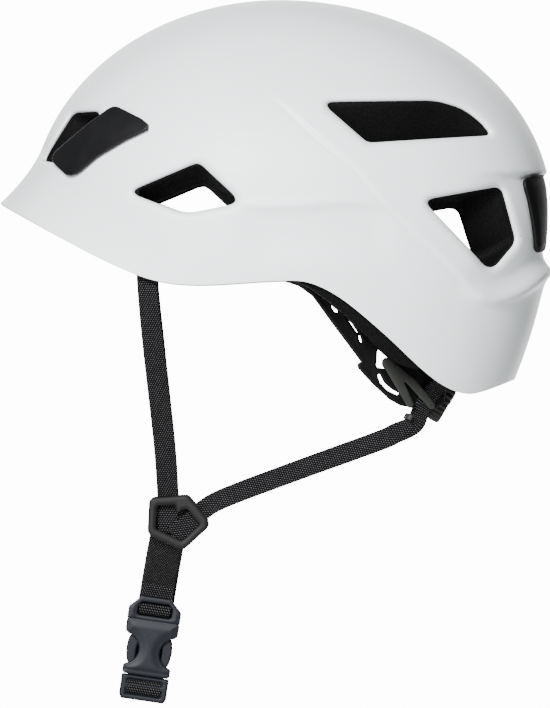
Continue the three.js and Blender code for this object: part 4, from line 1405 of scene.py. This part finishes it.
def build_nape_pad():
    outline = box_outline(-30, -12.5, 30, 12.5, 8, 8)
    sewn = lambda u, v, d: -quilt(u, d, 20, 0.9)
    pad = plate("nape_comfort_pad", outline, [], NAPE_PAD, 2.0, on_nape(-9.7), 1.2, bottom=sewn)
    put_pad(pad, "nape_pad", "nape")


# ---------------------------------------------------------------- headlamp clips

CLIP_LIFT = 0.8  # over the shell
CLIP_THICKNESS = 2.4
# Where each clip's foot goes through the shell, seen from the side.
FRONT_FOOT = (-74, 66)
REAR_FOOT = (137, 33)
FOOT_PROFILE = [(3.4, -5), (3.6, -4.6), (3.6, 0), (4.2, 1.2)]
FRONT_CLIP = [
    (-111.2, 45.2, 3), (-102.6, 36.9, 4), (-97.6, 38.8, 8), (-88, 47, 14), (-74, 55.2, 20), (-59.6, 62, 4),
    (-65.4, 66.6, 12), (-79.2, 73.6, 5.5), (-89.6, 66.2, 16), (-99.2, 58.4, 18), (-109.8, 49.4, 5),
]
REAR_CLIP = [(24, -0.6, 5), (40.5, -2, 5), (50, 20, 18), (55.5, 36.4, 5), (43, 38.6, 12), (24, 39, 5)]


def azimuth_behind(x, z):
    """Azimuth on the rear where the dome is x to the left."""
    low, high = np.full(np.shape(x), math.pi / 2), np.full(np.shape(x), math.pi)
    return bisected(low, high, lambda azimuth: dome_points(azimuth, z, True)[..., 0] > x, 40)


def azimuth_beside(y, z):
    return azimuth_at(y, z, True)


def over_shell(lift, find_azimuth):
    """Places a plate over the shell, laid out as it is seen from the side or from behind."""

    def place(u, v, h):
        point, out = shell_surface(find_azimuth(u, v), v)
        return point + out * (h + lift)[..., None]

    return place


def clip_relief(u, v, d):
    """A soft crown with a fine step inside the edge."""
    return 0.35 * smoothstep(0.5, 5, d) - 0.18 * np.exp(-(((d - 2.6) / 0.35) ** 2))


def clip_form(outline, find_azimuth, foot_y, foot_z):
    """A left-hand clip: a plate over the shell, and the foot that holds it."""
    middle = CLIP_LIFT + CLIP_THICKNESS / 2
    outline = rounded_outline(outline, 5)
    place = over_shell(middle, find_azimuth)
    blade = plate_parts(outline, [], CLIP_THICKNESS, 0.9, place, 1.5, top=clip_relief)
    point, out, around = side_spot(foot_y, foot_z)
    foot = capped(*tube(point, out, -around, FOOT_PROFILE, 28), 28)
    return joined([blade, foot])


def build_clips():
    forms = {
        # lit and shaded copies of one clip plastic: the front clips take the lighter black as painted light,
        # the rear clips the darker black as painted shade
        "front": (clip_form(FRONT_CLIP, azimuth_beside, *FRONT_FOOT), FRONT_CLIP_LIT_PLASTIC),
        "rear": (clip_form(REAR_CLIP, azimuth_behind, *REAR_FOOT), PLASTIC),
    }
    for side, sign in SIDES:
        for name, (form, material) in forms.items():
            clip = f"clip_{name}_{side}"
            put(finished(clip, *paired(*form, sign)), material, [f"headlamp_{clip}"], clip)


# ---------------------------------------------------------------- straps

WEB_WIDTH = 11.0
WEB_THICKNESS = 1.2
DIVIDER_X = 38.0
DIVIDER_THICKNESS = 3.0
STRAP_X = DIVIDER_X - 0.35 - WEB_THICKNESS
DIVIDER_OUTLINE = [
    (-62.6, -128.6, 3.4), (-63.6, -147.6, 4.5), (-45, -156, 4.5), (-31.6, -143.6, 3), (-32.4, -139.2, 3),
    (-42.4, -127.2, 3.4),
]
DIVIDER_WINDOW = [
    (-58.6, -132.6, 1.8), (-59.2, -144.6, 2), (-45.6, -150.9, 2), (-36.3, -142.3, 1.6), (-43.2, -134.2, 1),
    (-45.6, -135, 0.6), (-47, -136.4, 0.6), (-48.4, -136, 0.6), (-49.2, -132.2, 0.5),
]


def build_dividers():
    crown = lambda u, v, d: 0.5 * smoothstep(0.2, 1.7, d)
    place = lambda u, v, h: np.stack([DIVIDER_X + DIVIDER_THICKNESS / 2 - 0.2 + h, u, v], -1)
    outline, window = rounded_outline(DIVIDER_OUTLINE, 6), rounded_outline(DIVIDER_WINDOW, 5)
    form = plate_parts(outline, [window], DIVIDER_THICKNESS - 0.4, 0.7, place, 0.45, top=crown)
    for side, sign in SIDES:
        piece = finished(f"strap_divider_{side}", *paired(*form, sign))
        put(piece, DIVIDER_PLASTIC, [f"divider_{side}"], f"divider_{side}")


def side_spot(y, z):
    """Where the shell is seen at y, z from the side: point, outward and round the head."""
    y, z = np.array([[y], [z]], float)
    point, out = shell_surface(azimuth_at(y, z, True), z)
    return point[0], out[0], unit(np.cross([0.0, 0, 1], out[0]))


def flip_stops(stops, sign):
    return [((c[0] * sign, c[1], c[2]), (a[0] * sign, a[1], a[2])) for c, a in stops]


def in_metres(spot):
    return tuple(float(value) * MM for value in spot)


ANCHOR_SINK = 6.4  # from the shell's surface in to where a strap starts
GUIDE_CENTRE = (54, 76, -89.6)
GUIDE_ACROSS = (-0.5, 0.8, -0.5)
GUIDE_ALONG = (0.15, -0.5, -0.85)
REAR_STRAP_CUTS = [0.045, 0.205, 0.443, 0.7]  # shares of its length where it is cut into pieces


def build_front_straps():
    point, out, around = side_spot(-66, -9)
    start = point - out * ANCHOR_SINK
    stops = [
        (start, around),
        (start + np.array([-2.5, 1, -16]), around),
        ((70, -59.3, -60), (0, 1, 0.1)),
        ((50, -54.9, -100), (0, 1, 0.08)),
        ((STRAP_X + 1, -53.2, -124), (0, 1, 0.05)),
        ((STRAP_X - 1.2, -53, -134), (0, 1, 0)),
        ((STRAP_X - 1.8, -53.2, -147), (0, 1, -0.05)),
    ]
    for side, sign in SIDES:
        strap = ribbon(f"front_webbing_{side}", flip_stops(stops, sign), WEB_WIDTH, WEB_THICKNESS)
        put(strap, WEBBING, [f"front_strap_{side}"])
        ends = [(68 * sign, -59, -66), (36.5 * sign, -53.2, -126)]
        in_metres(ends[0])
        in_metres(ends[1])
        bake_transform(strap)


def build_rear_straps():
    point, out, around = side_spot(104, -60)
    start = point - out * ANCHOR_SINK
    across = (0, 0.35, -0.94)
    stops = [
        (start, around),
        ((arm_x(87) + 4.2, 86, -71.6), GUIDE_ACROSS),
        ((arm_x(81) + 2.9, 79.4, -81), GUIDE_ACROSS),
        (GUIDE_CENTRE, GUIDE_ACROSS),
        ((53.8, 71.8, -92.6), (-0.25, 0.62, -0.74)),
        ((53.6, 65, -95.4), (-0.1, 0.42, -0.9)),
        ((53, 57, -99.1), across),
        ((47, 15.6, -114.1), across),
        ((STRAP_X + 2, -22, -128.2), across),
        ((STRAP_X - 0.6, -34, -134.6), across),
        ((STRAP_X - 0.8, -41.6, -141.3), (0, 0.62, -0.79)),
        ((STRAP_X - 1.6, -50, -148), (0, 0.75, -0.66)),
    ]
    for side, sign in SIDES:
        path = flip_stops(stops, sign)
        name = f"rear_webbing_{side}"
        pieces, spots = cut_ribbon(name, path, WEB_WIDTH - 1, WEB_THICKNESS, REAR_STRAP_CUTS)
        ends = [*spots[:5], in_metres((36 * sign, -33, -134))]
        for i, piece in enumerate(pieces):
            put(piece, WEBBING, [f"rear_strap_{side}"])
            tuple(ends[i])
            tuple(ends[i + 1])
            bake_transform(piece)


def build_strap_guides():
    """The keeper that holds the rear strap to the arm's end: a slim rounded loop round the webbing."""
    across, along = unit(GUIDE_ACROSS), unit(GUIDE_ALONG)
    across = unit(across - along * (across @ along))
    through = np.cross(along, across)
    centre = np.array(GUIDE_CENTRE)
    place = on_frame(centre, across, through, along, 0.0)
    outline = box_outline(-6.9, -2.6, 5.9, 2.6, 1.6)
    window = box_outline(-5.2, -1.1, 5.2, 1.1, 0.5)
    form = plate_parts(outline, [window], 3.2, 0.6, place, 0.4)
    for side, sign in SIDES:
        loop = finished(f"strap_keeper_{side}", *paired(*form, sign))
        put(loop, GREY, [f"strap_guide_{side}"], f"arm_end_{side}")


# ---------------------------------------------------------------- buckle

BUCKLE_TOP = np.array([7, -58.8, -180.7])
BUCKLE_ACROSS = unit([0, 0.99, -0.144])
BUCKLE_UP = unit([0, 0.144, 0.99])
BUCKLE_THICKNESS = 7.4
MALE_THICKNESS = 7.6
CHEEK_THICKNESS = 2.1
CHEEK_MIDDLE = 3.95
PRONG_THICKNESS = 4.4
LOWER_WIDTH = 16.6
LADDER_WIDTH = 18.7  # the webbing that fills the male half's window


def in_buckle(across, up, out):
    return BUCKLE_TOP + across * BUCKLE_ACROSS + up * BUCKLE_UP + np.array([out, 0, 0])


def on_buckle(middle):
    return on_frame(BUCKLE_TOP, BUCKLE_ACROSS, BUCKLE_UP, unit([1, 0, 0]), middle)


def symmetric(half):
    """An outline from its right half, listed from the top down: (across, up, radius)."""
    return rounded_outline([*half, *[(-x, y, r) for x, y, r in reversed(half)]][::-1], 6)


BITE_RADIUS = 8.0
BITE_CENTRE = np.array([13.5, -28.0])
BITE_ENDS = np.array([(12.4, -20.6), (12.4, -35.4)])
# Outlines seen from outside: across, up, corner radius.
# All but the prong are right halves, from the top down.
FEMALE_TOP = [(7.6, 0, 2), (13.8, -6.2, 2), (13.8, -13, 0.5)]
FEMALE_SLOT = [(6.9, -2.9, 1.6), (8.9, -5, 1.2), (8.9, -10, 1.6)]
CHEEK_TOP = -11.8
CHEEK_END = -41.1
MALE_BASE = [(12.4, -41.3, 0.3), (12.4, -51.6, 2.2), (11.2, -54.2, 1.4)]
PRONG = [
    (5.2, -19.4, 1.6), (6.6, -28, 4), (6.4, -37, 2), (6.2, -42.6, 0.4), (8.8, -42.6, 0.4),
    (9.4, -36.4, 2), (11.2, -33.6, 3.5), (12.1, -27.5, 7), (11.4, -21.6, 4), (8.6, -18.8, 2.2),
]


def hourglass(top, end):
    """The female half's cheeks: straight sides, a round bite in each, and flared feet."""
    (start, finish) = (math.atan2(up, across) for across, up in BITE_ENDS - BITE_CENTRE)
    angles = np.linspace(start, finish + 2 * math.pi, 15)
    bite = [BITE_CENTRE + BITE_RADIUS * np.array([math.cos(a), math.sin(a)]) for a in angles]
    foot = [(12.45, -36.4), (12.45, end + 0.4), (12.2, end)]
    right = [(13.8, top), (13.75, -17.6), (13.3, -19.4), *bite, *foot]
    outline = right + [(-x, y) for x, y in reversed(right)]
    return np.array(outline[::-1])


def upside_down(relief):
    return lambda u, v, d: -relief(u, v, d)


def build_female():
    outline, slot = symmetric(FEMALE_TOP), symmetric(FEMALE_SLOT)
    cheek = hourglass(CHEEK_TOP, CHEEK_END)
    neck = box_outline(-13.2, -17.4, 13.2, -12.2, 1)
    soft = lambda u, v, d: 0.5 * smoothstep(0.3, 4.0, d)
    ridge = lambda u, v, d: 0.7 * smoothstep(0.3, 5.0, d) - 0.35 * np.exp(-(((v + 38.8) / 0.5) ** 2))
    middle, near, far = on_buckle(0), on_buckle(CHEEK_MIDDLE), on_buckle(-CHEEK_MIDDLE)
    parts = [
        plate_parts(outline, [slot], BUCKLE_THICKNESS, 0.8, middle, 0.45, top=soft, bottom=upside_down(soft)),
        plate_parts(cheek, [], CHEEK_THICKNESS, 0.9, near, 0.6, top=ridge),
        plate_parts(cheek, [], CHEEK_THICKNESS, 0.9, far, 0.6, bottom=upside_down(ridge)),
        plate_parts(neck, [], BUCKLE_THICKNESS, 0.5, middle, 1.4),
    ]
    put(finished("buckle_body", *joined(parts)), BUCKLE, ["buckle_female"], "helmet")


def build_male():
    windows = [box_outline(-8.9, -45.4, 8.9, -43.6, 0.5), box_outline(-8.9, -51.2, 8.9, -47.6, 0.5)]
    tongue = box_outline(-2.4, -44, 2.4, -15, 1.2)
    dome = lambda u, v, d: 0.6 * smoothstep(0.1, 1.1, d)
    base, middle = symmetric(MALE_BASE), on_buckle(0)
    parts = [
        plate_parts(base, windows, MALE_THICKNESS, 0.55, middle, 0.3, top=dome, bottom=upside_down(dome)),
        plate_parts(tongue, [], PRONG_THICKNESS, 0.8, middle, 1.2),
    ]
    put(finished("buckle_insert", *joined(parts)), BUCKLE, ["buckle_male"], "buckle_male")


def build_prongs():
    for name, sign in (("front", -1), ("rear", 1)):
        outline = rounded_outline([(sign * x, y, radius) for x, y, radius in PRONG[::-sign]], 6)
        form = plate_parts(outline, [], PRONG_THICKNESS, 1.0, on_buckle(0), 0.4)
        leaf = finished(f"prong_{name}_leaf", *form)
        put(leaf, BUCKLE, [f"buckle_prong_{name}"], f"prong_{name}")


def build_lower_straps():
    across = tuple(BUCKLE_ACROSS)
    at = lambda up, out: (in_buckle(0, up, out), across)
    left = [
        ((STRAP_X - 2.4, -47.6, -132.2), (0, 0.93, -0.36)),
        ((STRAP_X - 2.8, -51.8, -143), (0, 0.96, -0.28)),
        ((STRAP_X - 5.6, -54.4, -154), (0, 1, -0.16)),
        at(9, -1.6), at(1, -4.6), at(-4, -4.6), at(-8.3, -2.6), at(-9, 0.4), at(-6.6, 2.2), at(-4.2, 1.2),
        at(-3.4, -1.4), at(0.6, -2.9), at(5, -2.2), at(9, 0.2),
        ((STRAP_X - 8.4, -54.6, -155.4), (0, 1, -0.16)),
        ((STRAP_X - 5.2, -52.6, -145), (0, 0.96, -0.28)),
    ]
    strap = ribbon("lower_webbing_left", left, LOWER_WIDTH, WEB_THICKNESS, 1.0)
    put(strap, WEBBING, ["lower_strap_left"])
    low, high = in_metres((STRAP_X - 3.5, -54, -145)), in_metres((16, -57.5, -171))
    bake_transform(strap)
    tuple(low)
    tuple(high)
    right = [
        ((-STRAP_X + 2.4, -47.6, -132.2), (0, 0.93, -0.36)),
        ((-STRAP_X + 2.8, -51.8, -143), (0, 0.96, -0.28)),
        ((-STRAP_X + 7.5, -55, -158), (0, 1, -0.14)),
        at(-2, -10.5), at(-20, -9.5), at(-40, -8.6), at(-47.5, -6.2), at(-50.7, -2.6), at(-50.7, 1.8),
        at(-48.4, 3.6), at(-45.4, 3.4), at(-43.9, 1.6), at(-44, -2.6),
    ]
    pieces, spots = cut_ribbon("lower_webbing_right", right, LADDER_WIDTH, WEB_THICKNESS, [0.42], 1.0)
    for piece in pieces:
        put(piece, WEBBING, ["lower_strap_right"])
    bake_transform(pieces[0], "divider_right", "helmet", start=tuple(spots[0]), end=tuple(spots[1]))
    end = in_metres(in_buckle(0, -42, -8.6))
    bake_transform(pieces[1], "helmet", "buckle_male", start=tuple(spots[1]), end=end)


# ---------------------------------------------------------------- assembly


def build_helmet():
    put(build_shell(), SHELL, ["outer_shell"], "helmet")
    put(build_liner(), FOAM, ["foam_liner"], "helmet")
    build_headband()
    build_forehead_pad()
    build_crown_pad()
    build_cradle()
    build_wheel()
    build_nape_cover()
    build_nape_pad()
    build_clips()
    build_dividers()
    build_front_straps()
    build_rear_straps()
    build_strap_guides()
    build_female()
    build_male()
    build_prongs()
    build_lower_straps()
    for side, _ in SIDES:
        for node in ("temple_pin", "strap_anchor_front", "strap_anchor_rear"):
            dress(f"{node}_{side}", PLASTIC)
        dress(f"rack_{side}", PLASTIC, 0.2)
    dress("nape_housing", GREY, 0.8)
    dress("pinion", GREY, 0.12, 2)
    dress("wheel_screw", STEEL, 0.25)


# ---------------------------------------------------------------- camera, light and floor

CAMERA_DISTANCE = 12.0
FRAME_WIDTH = 0.36816  # metres of the object plane that fill the longer side of the picture
AIM_Y, AIM_Z = 0.0026, -0.05408
FLOOR_Z = -0.262
FLOOR_PROFILE = [(0.01, 0), (300, 0), (620, 0)]
BACKGROUND = 14.0  # the white behind the object, for the camera only
AMBIENT = 0.12
# Name, place, width in metres and power in watts. Each faces the origin.
LIGHTS = [
    ("key", (2.5, -0.66, 1.15), 0.9, 246),
    ("fill", (2.4, -1.0, -0.3), 0.9, 30),
    ("back", (-2.4, 0.1, 0.2), 2.4, 90),
]


def place_camera():
    data = bpy.data.cameras.new("camera")
    data.lens = 36 * CAMERA_DISTANCE / FRAME_WIDTH
    data.clip_end = 100
    camera = bpy.data.objects.new("camera", data)
    camera.location = (CAMERA_DISTANCE, AIM_Y, AIM_Z)
    camera.rotation_euler = (math.pi / 2, 0, math.pi / 2)
    bpy.context.scene.collection.objects.link(camera)
    bpy.context.scene.camera = camera


def place_floor():
    points, faces = tube((0, 0, FLOOR_Z / MM), (0, 0, 1), (1, 0, 0), FLOOR_PROFILE, 96)
    floor = make_object("floor", points, faces)
    n = Nodes("floor_white")
    tone = n.noise(6, 2)
    floor.data.materials.append(
        n.finish(Base_Color=n.colour(tone, shade(0.86), shade(0.9)), Roughness=n.ramp(tone, 0.55, 0.65))
    )
    floor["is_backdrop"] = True


def area_light(name, location, size, energy):
    data = bpy.data.lights.new(name, "AREA")
    data.size = size
    data.energy = energy
    light = bpy.data.objects.new(name, data)
    light.location = location
    light.rotation_euler = Vector(location).to_track_quat("Z", "Y").to_euler()
    bpy.context.scene.collection.objects.link(light)


def place_lights():
    world = bpy.data.worlds.new("studio")
    bpy.context.scene.world = world
    world.use_nodes = True
    nodes, links = world.node_tree.nodes, world.node_tree.links
    ambient = nodes["Background"]
    ambient.inputs["Color"].default_value = (0.97, 0.985, 1, 1)
    ambient.inputs["Strength"].default_value = AMBIENT
    bright = nodes.new("ShaderNodeBackground")
    bright.inputs["Color"].default_value = (1, 1, 1, 1)
    bright.inputs["Strength"].default_value = BACKGROUND
    path = nodes.new("ShaderNodeLightPath")
    mix = nodes.new("ShaderNodeMixShader")
    links.new(path.outputs["Is Camera Ray"], mix.inputs["Fac"])
    links.new(ambient.outputs[0], mix.inputs[1])
    links.new(bright.outputs[0], mix.inputs[2])
    links.new(mix.outputs[0], nodes["World Output"].inputs["Surface"])
    for light in LIGHTS:
        area_light(*light)


def write_sizes():
    boxes = {"cad": cad_box, "visual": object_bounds()}
    plain = {name: [[float(v) for v in corner] for corner in box] for name, box in boxes.items()}


build_helmet()
place_camera()
place_floor()
place_lights()
write_sizes()
